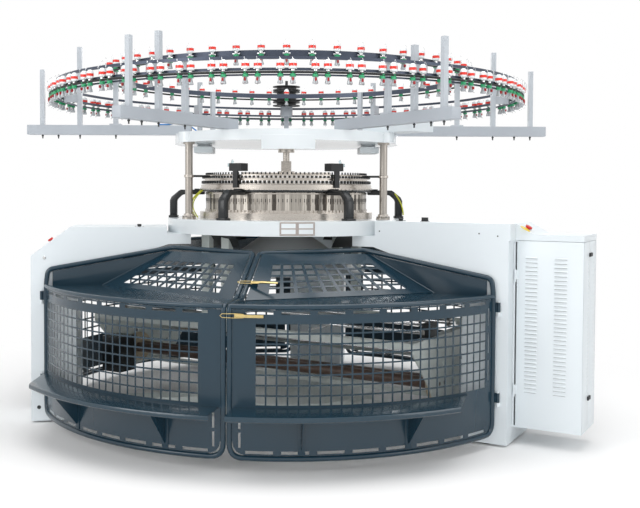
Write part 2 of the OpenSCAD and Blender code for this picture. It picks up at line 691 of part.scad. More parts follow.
module end_plates() color("lightgray") in_frame() for (turn = [0, 180]) rotate([0, 0, turn])
    translate([frame_half - plate_t, 0, 0]) difference() {
        rotate([90, 0, 90]) linear_extrude(height = plate_t) polygon([[-plate_low_half, frame_low_z],
            [plate_low_half, frame_low_z], [plate_mid_half, plate_mid_z], [frame_wide, plate_wide_z],
            [frame_wide, rail_z + rail_h], [-frame_wide, rail_z + rail_h], [-frame_wide, plate_wide_z],
            [-plate_mid_half, plate_mid_z]]);
        for (side = [-1, 1]) for (y = [front_roller_y, rear_roller_y]) journal_bore(side * y, roller_z);
        for (side = [-1, 1]) journal_bore(side * winding_y, winding_z);
    }
front_roller_y = roller_y - roller_r - roller_gap / 2;
rear_roller_y = roller_y + roller_r + roller_gap / 2;
module journal_bore(y, z) translate([-1, y, z]) rotate([0, 90, 0])
    cylinder(r = journal_r + run_gap, h = plate_t + 2);
module roller(y, z, r) in_frame() translate([0, y, z]) rotate([0, 90, 0]) {
    translate([0, 0, -frame_half]) cylinder(r = journal_r, h = 2 * frame_half);
    translate([0, 0, 3 + plate_t - frame_half]) cylinder(r = r, h = 2 * (frame_half - plate_t - 3));
}
module front_roller() color("saddlebrown") roller(front_roller_y, roller_z, roller_r);
module rear_roller() color("saddlebrown") roller(rear_roller_y, roller_z, roller_r);
module winding_roller() color("silver") roller(winding_y, winding_z, winding_r);
module takedown_drives() color("black") in_frame() {
    rail_end = frame_half - plate_t;
    for (turn = [0, 180]) rotate([0, 0, turn])
        block(-rail_end, -rail_end + 170, -530, -360, frame_low_z + 4, 437);
    block(rail_end - 50, rail_end, -345, -225, rail_z + rail_h, rail_z + rail_h + 85);
}
module fabric_cone() color("white") rotate_extrude() polygon([[126, cone_top_z], [129, cone_top_z],
    [522, cone_low_z + 5], [cone_flange_r, cone_low_z + 4], [cone_flange_r, cone_low_z],
    [518, cone_low_z]]);

// Guard doors
function bend(a, b, c, r) = [for (t = [0 : 0.25 : 1])
    let (p = b + unit(a - b) * r, q = b + unit(c - b) * r)
        (1 - t) * (1 - t) * p + 2 * t * (1 - t) * b + t * t * q];
function arc_points(r, a0, a1, z, n) = [for (i = [0 : n]) on_arc(r, a0 + (a1 - a0) * i / n, z)];
function apex(az, s, n_off, side) = [s * cos(az) - side * n_off * sin(az),
    s * sin(az) + side * n_off * cos(az), rim_z];
corner_drop = 104;
guard_mid_z = 460;
corner_in = 12;
// The top: a flat ledge behind the arc tube, a slope from the ledge line to the inner edge,
// and an upright plate by the leg
ledge_z = guard_high_z - 1;
ledge_r = guard_r - tube_d / 2 - 1.5;
ledge_in_r = 1370;
ledge_t = 3;
knee_lift = 4;
ridge_share = 0.43;
function ridge_foot(a1, top) = let (c = leaf_corner(a1), p = c + (top - c) * ridge_share)
    [p[0], p[1], ledge_z];
function ledge_line(a0, a1, top, chords) = let (foot = ridge_foot(a1, top), az = azimuth(foot, a1))
    [for (i = [0 : chords]) i == 0 ? foot : on_arc(ledge_in_r, az + (a0 - az) * i / chords, ledge_z)];
frame_bend = 75;
function leaf_corner(a1) = on_arc(guard_r - corner_in, a1, guard_high_z + corner_drop);
function az_near(az, other) = az + 360 * round((other - az) / 360);
// The inner edge: straight from the apex to the seam on the front leaves, in chords behind
function azimuth(p, near) = az_near(atan2(p[1], p[0]), near);
function leaf_inner(a0, a1, top, rim, chords) = let (az_top = azimuth(top, a1), az_rim = azimuth(rim, a0))
    [for (i = [0 : chords]) i == 0 ? top : i == chords ? rim
        : on_arc(rim_seam_r, az_top + (az_rim - az_top) * i / chords, rim_z)];
function seam_point(r, side, z) = on_arc(r, seam_az + side * asin(seam_off / r), z);
function along(p, f) = let (x = f * (len(p) - 1), k = min(floor(x), len(p) - 2))
    p[k] + (p[k + 1] - p[k]) * (x - k);
// The tube of the free edge bends where it meets the ledge, on the straight line from the rim to the arc
function knee(a0, rim) = let (high = on_arc(guard_r, a0, 0), rim_r = norm([rim[0], rim[1]]),
    f = (ledge_in_r - rim_r) / (guard_r - rim_r))
    [rim[0] + (high[0] - rim[0]) * f, rim[1] + (high[1] - rim[1]) * f, ledge_z + knee_lift];
function leaf_low_route(a0, a1) = let (
    turn = sign(a1 - a0) * frame_bend / guard_r * 57.3,
    low0 = on_arc(guard_r, a0, guard_low_z), low1 = on_arc(guard_r, a1, guard_low_z),
    mid0 = on_arc(guard_r, a0, guard_mid_z), mid1 = on_arc(guard_r, a1, guard_mid_z))
    concat([mid0], bend(mid0, low0, on_arc(guard_r, a0 + turn, guard_low_z), frame_bend),
        arc_points(guard_r, a0 + 1.4 * turn, a1 - 1.4 * turn, guard_low_z, 18),
        bend(on_arc(guard_r, a1 - turn, guard_low_z), low1, mid1, frame_bend), [mid1]);
function leaf_high_route(a0, a1, inner) = let (top = inner[0], n = len(inner) - 1, rim = inner[n],
    high0 = on_arc(guard_r, a0, guard_high_z), knee = knee(a0, rim),
    high1 = on_arc(guard_r, a1, guard_high_z + 15),
    mid0 = on_arc(guard_r, a0, guard_mid_z), mid1 = on_arc(guard_r, a1, guard_mid_z))
    concat([mid1 - [0, 0, 1]], bend(mid1, high1, leaf_corner(a1), 30), bend(high1, leaf_corner(a1), top, 35),
        bend(leaf_corner(a1), top, inner[1], 30), n > 1 ? [for (i = [1 : n - 1]) inner[i]] : [],
        bend(inner[n - 1], rim, knee, 40), bend(rim, knee, high0, 40), bend(knee, high0, mid0, 30),
        [mid0 - [0, 0, 1]]);
module leaf_frame(a0, a1, inner) {
    in_az = 57.3 * 5 / guard_r * sign(a1 - a0);
    tube_along(leaf_low_route(a0, a1), tube_d / 2, 10);
    tube_along(leaf_high_route(a0, a1, inner), tube_d / 2, 10);
    tube_along(arc_points(guard_r, a0 + in_az, a1 - in_az, guard_high_z, 24), tube_d / 2 - 0.5, 10);
}
module wall_piece(a0, a1, r0, r1, z0, z1) rotate([0, 0, min(a0, a1)])
    rotate_extrude(angle = abs(a1 - a0)) translate([r0, z0]) square([r1 - r0, z1 - z0]);
module window(az, w, z, h) at_az(az) block(guard_r - 20, guard_r + 20, -w / 2, w / 2, z, z + h);
// Rounds a lower corner of the wall to lie inside the bend of the tube
module corner_cut(az, way) at_az(az + way * asin(frame_bend / guard_r))
    translate([guard_r, 0, guard_low_z + frame_bend]) difference() {
        block(-20, 20, min(0, -way * 2 * frame_bend), max(0, -way * 2 * frame_bend), -frame_bend - 1, 0);
        rotate([0, 90, 0]) cylinder(r = frame_bend - tube_d / 2 - 4 * seat_gap, h = 60, center = true);
    }
// The curved wall: a grid of openings with a row of slots along each tube
module leaf_wall(a0, a1, cols, rows) {
    edge = 57.3 * (tube_d / 2 + seat_gap) / guard_r * sign(a1 - a0);
    strip = 57.3 * 115 / guard_r * sign(a1 - a0);
    g0 = a0 + strip;
    g1 = a1 - strip / 2;
    low = guard_low_z + tube_d / 2 + seat_gap;
    high = guard_high_z - tube_d / 2 - seat_gap;
    cell = abs(g1 - g0) / cols;
    cell_h = (screen_high_z - screen_low_z) / rows;
    bar = 10;
    difference() {
        wall_piece(a0 + edge, a1 - edge, guard_r - wall_t / 2, guard_r + wall_t / 2, low, high);
        for (i = [0 : cols - 1]) for (j = [0 : rows - 1])
            window(g0 + (g1 - g0) * (i + 0.5) / cols, cell * guard_r / 57.3 - bar,
                screen_low_z + j * cell_h + bar / 2, cell_h - bar);
        for (i = [0 : 7]) for (z = [low + 8, high - 8 - slot_h])
            window(a0 + (a1 - a0) * (i + 0.7) / 8.4, slot_l, z, slot_h);
        for (z = [150 : 180 : 800]) window(a0 + 2.2 * edge, 14, z, 90);
        corner_cut(a0, sign(a1 - a0));
        corner_cut(a1, sign(a0 - a1));
    }
}
// A sloped sheet between an upper and a lower row with the same number of points
module sheet(upper, lower) {
    n = len(lower);
    top = concat(upper, lower);
    pts = concat(top, [for (p = top) p - [0, 0, sheet_t]]);
    faces = [for (i = [0 : n - 2]) each [[i, n + i + 1, n + i], [i, i + 1, n + i + 1]]];
    under = [for (f = faces) [f[2], f[1], f[0]] + 2 * n * [1, 1, 1]];
    outline = concat([for (i = [0 : n - 1]) i], [for (i = [n - 1 : -1 : 0]) n + i]);
    rim = [for (i = [0 : 2 * n - 1]) let (a = outline[i], b = outline[(i + 1) % (2 * n)])
        each [[a, b + 2 * n, b], [a, a + 2 * n, b + 2 * n]]];
    polyhedron(points = pts, faces = concat(faces, under, rim));
}
function wound(points, way) = way > 0 ? points : [for (i = [len(points) - 1 : -1 : 0]) points[i]];
sheet_steps = 8;
sheet_t = 3;
sheet_drop = 3;
function chord_r(p, q) = abs(p[0] * q[1] - p[1] * q[0]) / norm([q[0] - p[0], q[1] - p[1]]);
// How far the slope's edge is scaled out from the inner edge to lie beside the tube
function sheet_in(inner) = 1 + (tube_d / 2 + 1) /
    min([for (i = [0 : len(inner) - 2]) chord_r(inner[i], inner[i + 1])]);
lap = 2;
tip_in = 42;
plate_from = 28;
under_tube = tube_d / 2 + 2;
hole_rows = 5;
hole_cols = 10;
hole_l = 46;
hole_w = 44;
module leaf_top(a0, a1, inner, drilled) {
    way = sign(a1 - a0);
    edge = 57.3 * (tube_d / 2 + 1) / guard_r * way;
    chords = len(inner) - 1;
    top = inner[0];
    corner = leaf_corner(a1);
    away = top - corner;
    reach = norm([away[0], away[1]]);
    tip = corner + away * (1 - tip_in / reach) - [0, 0, under_tube];
    scale_in = sheet_in(inner);
    line = ledge_line(azimuth(knee(a0, inner[chords]), a0) + 1.8 * edge, a1, top, chords);
    front = [for (i = [0 : sheet_steps]) let (p = along(inner, 1 - i / sheet_steps) * scale_in)
        [p[0], p[1], p[2] / scale_in - sheet_drop]];
    rim = on_arc(norm([front[0][0], front[0][1]]), azimuth(front[0], a0) + 2.4 * edge, front[0][2]);
    near = concat([rim], [for (i = [1 : sheet_steps - 1]) front[i]], [tip]);
    // The slope laps over the ledge line, so that the two sheets cross there
    low = [for (i = [0 : sheet_steps]) let (p = along(line, 1 - i / sheet_steps), over = 1 + lap / ledge_in_r)
        [p[0] * over, p[1] * over, p[2] - lap / 2]];
    outer = arc_points(ledge_r, a0 + 1.6 * edge, a1 - 1.2 * edge, 0, 2 * sheet_steps);
    inside = [for (p = line) p * (1 - 1.5 * lap / ledge_in_r)];
    foot = corner + away * ridge_share;
    heel = corner + away * (plate_from + lap) / reach;
    difference() {
        union() {
            sheet(wound(near, way), wound(low, way));
            translate([0, 0, ledge_z - ledge_t]) linear_extrude(height = ledge_t) polygon(concat(
                [for (p = outer) [p[0], p[1]]], [[heel[0], heel[1]], [foot[0], foot[1]]],
                [for (i = [0 : chords]) [inside[i][0], inside[i][1]]]));
            side_plate(corner, away, reach, tip);
        }
        if (drilled) for (i = [0 : hole_cols - 1]) for (j = [0 : hole_rows - 1])
            let (f = 0.1 + 0.75 * i / (hole_cols - 1), t = 0.2 + j * 0.14, q = along(low, f),
                c = q + (along(near, f) - q) * t)
            translate([c[0], c[1], 800]) rotate([0, 0, atan2(c[1], c[0])])
                translate([-hole_l / 2, -hole_w / 2, 0]) cube([hole_l, hole_w, 400]);
    }
}
// The upright plate from the ledge to just under the sloping tube
module side_plate(corner, away, reach, tip) {
    rise = away[2] / reach;
    function under(d) = corner[2] + rise * d - under_tube;
    end = reach - tip_in + lap;
    translate([corner[0], corner[1], 0]) rotate([0, 0, atan2(away[1], away[0])]) rotate([90, 0, 0])
        linear_extrude(height = sheet_t, center = true) polygon([[plate_from, ledge_z - 3 * lap],
            [plate_from, under(plate_from)],
            [end, under(end)], [end, tip[2] - 3 * lap], [ridge_share * reach - 2 * lap, ledge_z - 3 * lap]]);
}
// Standing step on brackets, drawn as a flat plate with its own outline
module step_plate(a0, a_wall, a_tip) {
    r_out = guard_r + step_d;
    linear_extrude(height = 4) polygon(concat(
        [for (i = [0 : 14]) let (p = on_arc(r_out, a0 + (a_tip - a0) * i / 14, 0)) [p[0], p[1]]],
        [for (i = [14 : -1 : 0]) let (p = on_arc(guard_r, a0 + (a_wall - a0) * i / 14, 0)) [p[0], p[1]]]));
}
module door_step(a0, a_wall, a_tip, gusset_az) {
    translate([0, 0, step_z]) step_plate(a0, a_wall, a_tip);
    wall_piece(a0, a_tip, guard_r + step_d - 4, guard_r + step_d - 1, step_z - 22, step_z + 1);
    for (az = gusset_az) at_az(az) side_prism([[guard_r, step_z + 1], [guard_r + step_d - 20, step_z + 1],
        [guard_r + 12, guard_low_z + 50], [guard_r, guard_low_z + 50]], -2, 2);
}
// Hinge knuckles and pins, placed from the leg's face; side is +1 where the door lies before the pin
module at_hinge(az, s, face) at_az(az) translate([s, face, 0]) children();
function hinge_s(face) = sqrt(guard_r * guard_r - pow(face + leaf_leg_gap, 2)) + pin_side;
module hinge_pin(out) for (z = hinge_low_z) translate([0, 0, z]) {
    block(-9, 9, min(0, out * pin_out), max(0, out * pin_out), 0, 24);
    translate([0, out * pin_out, 0]) cylinder(r = pin_r, h = 90);
    translate([0, out * pin_out, 0]) cylinder(r = 9, h = 24);
}
module hinge_knuckle(out) for (z = hinge_low_z)
    translate([0, out * pin_out, z + 24 + seat_gap]) difference() {
    union() {
        cylinder(r = knuckle_r, h = 56);
        block(tube_d / 2 - pin_side - 6, 0, out > 0 ? -3 : -5, out > 0 ? 5 : 3, 0, 56);
    }
    translate([0, 0, -1]) cylinder(r = pin_r + run_gap, h = 60);
}
left_top = apex(left_az, 790, left_front_y + leaf_leg_gap + 6, 1);
right_top = apex(right_az, 770, right_front_y + leaf_leg_gap + 6, -1);
rear_right_top = apex(right_az, 850, leg_w - right_front_y + leaf_leg_gap + 6, 1);
rear_left_top = apex(left_az, 850, leg_w - left_front_y + leaf_leg_gap + 6, -1);
left_seam = seam_az - asin(seam_off / guard_r);
right_seam = seam_az + asin(seam_off / guard_r);
rear_left_end = rear_az + rear_leg_half;
rear_right_end = rear_az - rear_leg_half;
rear_chords = 4;
rear_cols = 11;
rear_rows = 4;
rear_rim_off = leg_w / 2 + leaf_leg_gap + 6;
left_inner = leaf_inner(left_seam, left_hinge_az, left_top, seam_point(rim_seam_r, -1, rim_z - 8), 1);
right_inner = leaf_inner(right_seam, right_hinge_az, right_top, seam_point(rim_seam_r, 1, rim_z - 8), 1);
rear_left_inner = leaf_inner(rear_left_end, rear_left_leg_az, rear_left_top,
    apex(rear_az, 880, rear_rim_off, 1), rear_chords);
rear_right_inner = leaf_inner(rear_right_end, rear_right_leg_az, rear_right_top,
    apex(rear_az, 880, rear_rim_off, -1), rear_chords);

module left_door_frame() color("darkslategray") {
    leaf_frame(left_seam, left_hinge_az, left_inner);
    at_hinge(left_az, hinge_s(left_front_y), left_front_y) hinge_knuckle(1);
}
module left_door_screen() color("darkslategray") {
    leaf_wall(left_seam, left_hinge_az, screen_cols, screen_rows);
    leaf_top(left_seam, left_hinge_az, left_inner, true);
    door_step(left_seam - 0.8, -156, -142.5, [-151, -118]);
}
module right_door_frame() color("darkslategray") {
    leaf_frame(right_seam, right_hinge_az, right_inner);
    at_hinge(right_az, hinge_s(right_front_y), -right_front_y) hinge_knuckle(-1);
}
module right_door_screen() color("darkslategray") {
    leaf_wall(right_seam, right_hinge_az, screen_cols, screen_rows);
    leaf_top(right_seam, right_hinge_az, right_inner, true);
    door_step(right_seam + 0.8, -51, -59.6, [-87, -66]);
    at_latch(latch_low) latch_base();
    at_latch(latch_high) latch_base();
}
module rear_left_door() color("darkslategray") {
    leaf_frame(rear_left_end, rear_left_leg_az, rear_left_inner);
    leaf_wall(rear_left_end, rear_left_leg_az, rear_cols, rear_rows);
    leaf_top(rear_left_end, rear_left_leg_az, rear_left_inner, false);
    at_hinge(left_az, hinge_s(leg_w - left_front_y), left_front_y - leg_w) hinge_knuckle(-1);
}
module rear_right_door() color("darkslategray") {
    leaf_frame(rear_right_end, rear_right_leg_az, rear_right_inner);
    leaf_wall(rear_right_end, rear_right_leg_az, rear_cols, rear_rows);
    leaf_top(rear_right_end, rear_right_leg_az, rear_right_inner, false);
    at_hinge(right_az, hinge_s(leg_w - right_front_y), leg_w - right_front_y) hinge_knuckle(1);
}

// Toggle latches on the right leaf: [azimuth, radius, height, elevation of the sheet's normal]
latch_lift = 16;
latch_high_r = 1235;
sheet_slope = atan2(rim_z - 8 - sheet_drop - ledge_z, ledge_in_r - rim_seam_r * sheet_in(right_inner));
latch_low = [-99.2, guard_r + wall_t / 2 + latch_lift, 838, 0];
latch_high = [-99, latch_high_r + latch_lift * sin(sheet_slope),
    ledge_z + (ledge_in_r - latch_high_r) * tan(sheet_slope) + latch_lift * cos(sheet_slope),
    90 - sheet_slope];
module at_latch(l) at_az(l[0]) translate([l[1], 0, l[2]]) rotate([0, -l[3], 0]) rotate([0, 0, 90]) children();
module latch_base() block(-10, 34, 6 + seat_gap, latch_lift + 8, -12, 12);
module latch_lever() {
    cylinder(r = 6, h = 22, center = true);
    linear_extrude(height = 16, center = true)
        polygon([[0, -5], [60, -9], [150, -4], [150, 1], [60, 0], [0, 4]]);
}
module lower_latch() color("darkkhaki") at_latch(latch_low) latch_lever();
module upper_latch() color("darkkhaki") at_latch(latch_high) latch_lever();

// Cabinet: an open frame with a front and a rear cover that share its outer end
cab_pin_s = 1692;
cab_pin_r = 3;
split_y = -60;
cab_hinge_z = [300, 980];
module cabinet_frame() color("whitesmoke") at_az(right_az) {
    block(column_end + seat_gap, column_end + 10, -cab_front + 4, cab_back - 4, cab_low_z, cab_high_z);
    block(column_end + 5, cab_s1 - 5, -cab_front + 4, cab_back - 4, cab_low_z, cab_low_z + 8);
    block(column_end + 5, cab_s1 - 5, -cab_front + 4, cab_back - 4, cab_high_z - 8, cab_high_z);
    block(column_end + 5, cab_s1 - 30, split_y - 3, split_y + 3, cab_low_z + 5, cab_high_z - 5);
    for (z = cab_hinge_z) for (y = [-cab_front - 4, cab_back + 4]) translate([cab_pin_s, y, z]) {
        cylinder(r = cab_pin_r, h = 60);
        translate([0, 0, -16]) cylinder(r = 5, h = 16);
        block(-10, 0, y > 0 ? -20 : -2, y > 0 ? 2 : 20, -16, 0);
    }
}
module cab_knuckle(out) for (z = cab_hinge_z) translate([cab_pin_s, 0, z + seat_gap]) difference() {
    union() {
        cylinder(r = 5.5, h = 56);
        block(0, 16, out > 0 ? -4 : 1, out > 0 ? -1 : 4, 0, 56);
    }
    translate([0, 0, -1]) cylinder(r = cab_pin_r + run_gap, h = 60);
}
louvre_z = [for (i = [0 : 15]) 190 + i * 60];
module cabinet_front_cover() color("whitesmoke") at_az(right_az) {
    difference() {
        union() {
            block(cab_pin_s + 8, cab_s1, -cab_front, -cab_front + cover_t, cab_low_z, cab_high_z);
            block(cab_s1 - cover_t, cab_s1, -cab_front, split_y - 1, cab_low_z, cab_high_z);
        }
        for (z = louvre_z) for (s = [cab_s0 + 90, cab_s0 + 250])
            block(s, s + 90, -cab_front - 1, -cab_front + cover_t + 1, z, z + 8);
        for (z = louvre_z) translate([cab_s1 - 5, split_y - 40, z]) rotate([0, 90, 0])
            cylinder(r = 9, h = 10);
    }
    translate([0, -cab_front - 4, 0]) cab_knuckle(-1);
    for (z = [280, 1120]) block(cab_s1 - 1, cab_s1 + 12, split_y - 40, split_y - 4, z, z + 22);
}
module cabinet_rear_cover() color("whitesmoke") at_az(right_az) {
    difference() {
        union() {
            block(cab_pin_s + 8, cab_s1, cab_back - cover_t, cab_back, cab_low_z, cab_high_z);
            block(cab_s1 - cover_t, cab_s1, split_y + 1, cab_back, cab_low_z, cab_high_z);
        }
        for (z = louvre_z) translate([cab_s1 - 5, split_y + 40, z]) rotate([0, 90, 0])
            cylinder(r = 9, h = 10);
    }
    translate([0, cab_back + 4, 0]) cab_knuckle(1);
    for (z = [280, 1120]) block(cab_s1 - 1, cab_s1 + 12, split_y + 4, split_y + 24, z, z + 22);
}

base_frame();
levelling_feet();
left_leg();
right_leg();
rear_leg();
control_box();
bed_table();
nameplates();
drive_motor();
belts();
pillars();
base_ring();
cam_sections();
yarn_ring();
ring_brackets();
dial_cam_ring();
cam_adjusters();
dial_hub();
top_plate();
top_cover();
work_lamps();
fan_motors();
junction_box();
cable_runs();
feeder_beams();
feeder_posts();
feeder_rings();
yarn_feeders();
cabinet_frame();
needle_cylinder();
gear_ring();
takedown_frame();
end_plates();
fabric_cone();
takedown_drives();
front_roller();
rear_roller();
winding_roller();
dial();
dial_gear();
drive_shaft();
motor_pulley();
pulley_stack();
left_door_frame();
left_door_screen();
right_door_frame();
right_door_screen();
rear_left_door();
rear_right_door();
cabinet_front_cover();
cabinet_rear_cover();
emergency_button();
right_jog_button();
left_jog_button();
left_stop_button();
selector_knob();
left_fan();
right_fan();
upper_latch();
lower_latch();
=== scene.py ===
"""Looks of a large-diameter circular knitting machine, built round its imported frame.

Everything is in metres: the origin is on the floor under the machine axis, +Z up, -Y is the front.
A piece is described by its distance from the axis, its azimuth from +X and its height.
"""

import math

import bmesh
import bpy
from mathutils import Matrix, Vector


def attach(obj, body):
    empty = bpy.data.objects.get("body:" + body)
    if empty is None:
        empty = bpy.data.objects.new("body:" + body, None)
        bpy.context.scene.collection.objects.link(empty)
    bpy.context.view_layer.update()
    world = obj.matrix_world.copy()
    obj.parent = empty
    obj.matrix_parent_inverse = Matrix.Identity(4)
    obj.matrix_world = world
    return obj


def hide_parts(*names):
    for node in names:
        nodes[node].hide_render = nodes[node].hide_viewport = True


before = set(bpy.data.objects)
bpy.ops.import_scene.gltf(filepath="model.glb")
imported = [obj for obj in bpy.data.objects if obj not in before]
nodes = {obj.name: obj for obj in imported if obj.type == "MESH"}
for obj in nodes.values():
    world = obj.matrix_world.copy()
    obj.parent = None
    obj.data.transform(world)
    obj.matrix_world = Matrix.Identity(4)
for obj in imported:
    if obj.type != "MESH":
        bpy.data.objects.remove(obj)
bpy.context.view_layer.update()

# Driving sizes, the same as in the part's source
TABLE_R = 0.819
TABLE_TOP = 1.308
GUARD_R = 1.640
TUBE_R = 0.015
GUARD_LOW = 0.081
GUARD_MID = 0.460
GUARD_HIGH = 0.885
RIM_Z = 1.126
RIM_R = 0.930
SCREEN_LOW = 0.360
SCREEN_HIGH = 0.799
STEP_Z = 0.345
STEP_D = 0.205
RIGHT_AZ = -30
LEFT_AZ = -172
REAR_AZ = 79.5
LEG_W = 0.435
LEFT_FRONT = 0.355
RIGHT_FRONT = 0.330
LEG_GAP = 0.025
PILLAR_AZ = (-30, -150, 90)
SHAFT_S = 0.740
TOP_PLATE_Z = 1.811
TOP_PLATE_R = 0.771
TOP_Z = 1.879
BEAM_TOP = 1.946
YARN_RING_R = 0.600
YARN_RING_Z = 1.500
DIAL_RING_R = 0.579
CAM_Z = 1.368
CAM_R = 0.558
CAM_COUNT = 125
SEAT_GAP = 0.0003
FULL_TURN = 2 * math.pi
SIDES = (-1, 1)


# Placing
def polar(radius, azimuth, height):
    """The point at a distance from the axis, an azimuth in degrees and a height."""
    angle = math.radians(azimuth)
    return Vector((radius * math.cos(angle), radius * math.sin(angle), height))


def turned(azimuth):
    """A turn about the machine axis."""
    return Matrix.Rotation(math.radians(azimuth), 4, "Z")


def placed(azimuth, radius=0, side=0, height=0):
    """Takes a piece drawn at the origin, facing outwards along +X, to its place round the axis."""
    return turned(azimuth) @ Matrix.Translation((radius, side, height))


# Modelling, with one operator or modifier at a time
def calm():
    """Leaves edit mode and deselects everything."""
    if bpy.context.mode != "OBJECT":
        bpy.ops.object.mode_set(mode="OBJECT")
    bpy.ops.object.select_all(action="DESELECT")


def only(piece):
    """Selects one piece alone and makes it the active one."""
    calm()
    piece.select_set(True)
    bpy.context.view_layer.objects.active = piece


def primitive(kind, **settings):
    """Adds one of Blender's basic shapes."""
    calm()
    getattr(bpy.ops.mesh, f"primitive_{kind}_add")(**settings)
    return bpy.context.object


def settle(piece):
    """Puts a piece's place into its mesh."""
    only(piece)
    bpy.ops.object.transform_apply(location=True, rotation=True, scale=True)
    return piece


def modified(piece, kind, **settings):
    """Adds a modifier with its settings and applies it."""
    only(piece)
    added = piece.modifiers.new(kind.title(), kind)
    for name, value in settings.items():
        setattr(added, name, value)
    bpy.ops.object.modifier_apply(modifier=added.name)
    return piece


def pick_faces(piece, test):
    """Goes into edit mode with only the faces selected whose centre and normal pass the test."""
    only(piece)
    bpy.ops.object.mode_set(mode="EDIT")
    bpy.ops.mesh.select_mode(type="FACE")
    bpy.ops.mesh.select_all(action="DESELECT")
    mesh = bmesh.from_edit_mesh(piece.data)
    for face in mesh.faces:
        face.select = test(face.calc_center_median(), face.normal)
    mesh.select_flush_mode()
    bmesh.update_edit_mesh(piece.data)


def pick_all(piece):
    """Goes into edit mode with everything selected."""
    only(piece)
    bpy.ops.object.mode_set(mode="EDIT")
    bpy.ops.mesh.select_all(action="SELECT")


def outwards(piece):
    """Merges doubles and turns every face outwards."""
    pick_all(piece)
    bpy.ops.mesh.remove_doubles(threshold=1e-5)
    bpy.ops.mesh.normals_make_consistent(inside=False)
    bpy.ops.object.mode_set(mode="OBJECT")
    return piece


def smooth(piece, angle=35):
    """Shades a piece smooth across its edges up to an angle in degrees."""
    only(piece)
    bpy.ops.object.shade_smooth_by_angle(angle=math.radians(angle))
    return piece


def rounded(piece, width, segments=2, angle=30):
    """Breaks a piece's sharp edges with a bevel."""
    modified(piece, "BEVEL", width=width, segments=segments, limit_method="ANGLE",
             angle_limit=math.radians(angle), use_clamp_overlap=True)
    return smooth(piece)


def box(low, high, edge=0.0):
    """A block from its lowest to its highest corner, with broken edges."""
    low, high = Vector(low), Vector(high)
    piece = settle(primitive("cube", size=1, location=(low + high) / 2, scale=high - low))
    return rounded(piece, edge) if edge else piece


def rod(start, end, radius, sides=12, edge=0.0):
    """A round bar between two points, with turned ends."""
    start, end = Vector(start), Vector(end)
    way = end - start
    turn = way.to_track_quat("Z", "Y").to_euler()
    piece = settle(primitive("cylinder", vertices=sides, radius=radius, depth=way.length,
                             location=(start + end) / 2, rotation=turn))
    return rounded(piece, edge, 1) if edge else smooth(piece)


def lathe(profile, steps=32):
    """A piece turned on a lathe: a closed outline of (radius, height) points, spun round the axis."""
    piece = primitive("circle", vertices=len(profile), radius=1)
    for vertex, (radius, height) in zip(piece.data.vertices, profile):
        vertex.co = (radius, 0, height)
    pick_all(piece)
    bpy.ops.mesh.spin(steps=steps, angle=FULL_TURN, center=(0, 0, 0), axis=(0, 0, 1))
    return smooth(outwards(piece))


def prism(outline, depth, edge=0.0):
    """A plate cut to an outline in the (x, z) plane, extruded half its depth to each side in y."""
    piece = primitive("circle", vertices=len(outline), radius=1, fill_type="NGON")
    for vertex, (x, z) in zip(piece.data.vertices, outline):
        vertex.co = (x, -depth / 2, z)
    pick_all(piece)
    bpy.ops.mesh.extrude_region_move(TRANSFORM_OT_translate={"value": (0, depth, 0)})
    outwards(piece)
    return rounded(piece, edge) if edge else piece


def tube(points, radius, sides=10):
    """A bent tube or wire along a route, capped at both ends."""
    curve = bpy.data.curves.new("route", "CURVE")
    curve.dimensions = "3D"
    curve.bevel_mode = "ROUND"
    curve.bevel_depth = radius
    curve.bevel_resolution = max(0, sides // 2 - 2)
    curve.use_fill_caps = True
    spline = curve.splines.new("POLY")
    spline.points.add(len(points) - 1)
    for target, point in zip(spline.points, points):
        target.co = (*point, 1)
    piece = bpy.data.objects.new("tube", curve)
    bpy.context.collection.objects.link(piece)
    only(piece)
    bpy.ops.object.convert(target="MESH")
    return smooth(outwards(bpy.context.object), 50)


def joined(pieces):
    """Joins pieces into one."""
    calm()
    for piece in pieces:
        piece.select_set(True)
    bpy.context.view_layer.objects.active = pieces[0]
    bpy.ops.object.join()
    return bpy.context.object


def copied(piece, places):
    """Copies a piece to every place, each copy with its own mesh, and joins the copies."""
    made = []
    for place in places:
        copy = piece.copy()
        copy.data = piece.data.copy()
        copy.data.transform(place)
        bpy.context.collection.objects.link(copy)
        made.append(copy)
    bpy.data.objects.remove(piece)
    return joined(made)


def grid_sheet(us, vs, place, is_hole, thickness, offset=0.0):
    """A sheet on a grid of lines at us and vs: its holes are cut, it is bent to place and given a wall."""
    columns, rows = len(us) - 1, len(vs) - 1
    piece = primitive("grid", x_subdivisions=columns, y_subdivisions=rows, size=2)
    steps = [(round((vertex.co.x + 1) / 2 * columns), round((vertex.co.y + 1) / 2 * rows))
             for vertex in piece.data.vertices]
    pick_faces(piece, lambda centre, normal: is_hole(
        middle(us, (centre.x + 1) / 2 * columns), middle(vs, (centre.y + 1) / 2 * rows)))
    bpy.ops.object.mode_set(mode="OBJECT")
    for vertex, (i, j) in zip(piece.data.vertices, steps):
        vertex.co = place(us[i], vs[j])
    bpy.ops.object.mode_set(mode="EDIT")
    bpy.ops.mesh.delete(type="FACE")
    bpy.ops.object.mode_set(mode="OBJECT")
    modified(piece, "SOLIDIFY", thickness=thickness, offset=offset, use_even_offset=True)
    return smooth(piece)


def middle(values, step):
    """The value midway between the two grid lines on either side of a face."""
    i = int(step)
    return (values[i] + values[i + 1]) / 2


def no_holes(*place):
    """The hole test of a plain sheet."""
    return False


def keep(piece, name, body, material=None, stands_for=()):
    """Names a finished piece, gives it its material, and lets it ride on its body."""
    settle(piece)
    piece.name = name
    piece.data.name = name
    if material:
        piece.data.materials.clear()
        piece.data.materials.append(material)
    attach(piece, body)
    if stands_for:
        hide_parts(*stands_for)
    return piece


def painted(piece, material):
    """Gives a part its material before it is joined with others."""
    piece.data.materials.clear()
    piece.data.materials.append(material)
    return piece


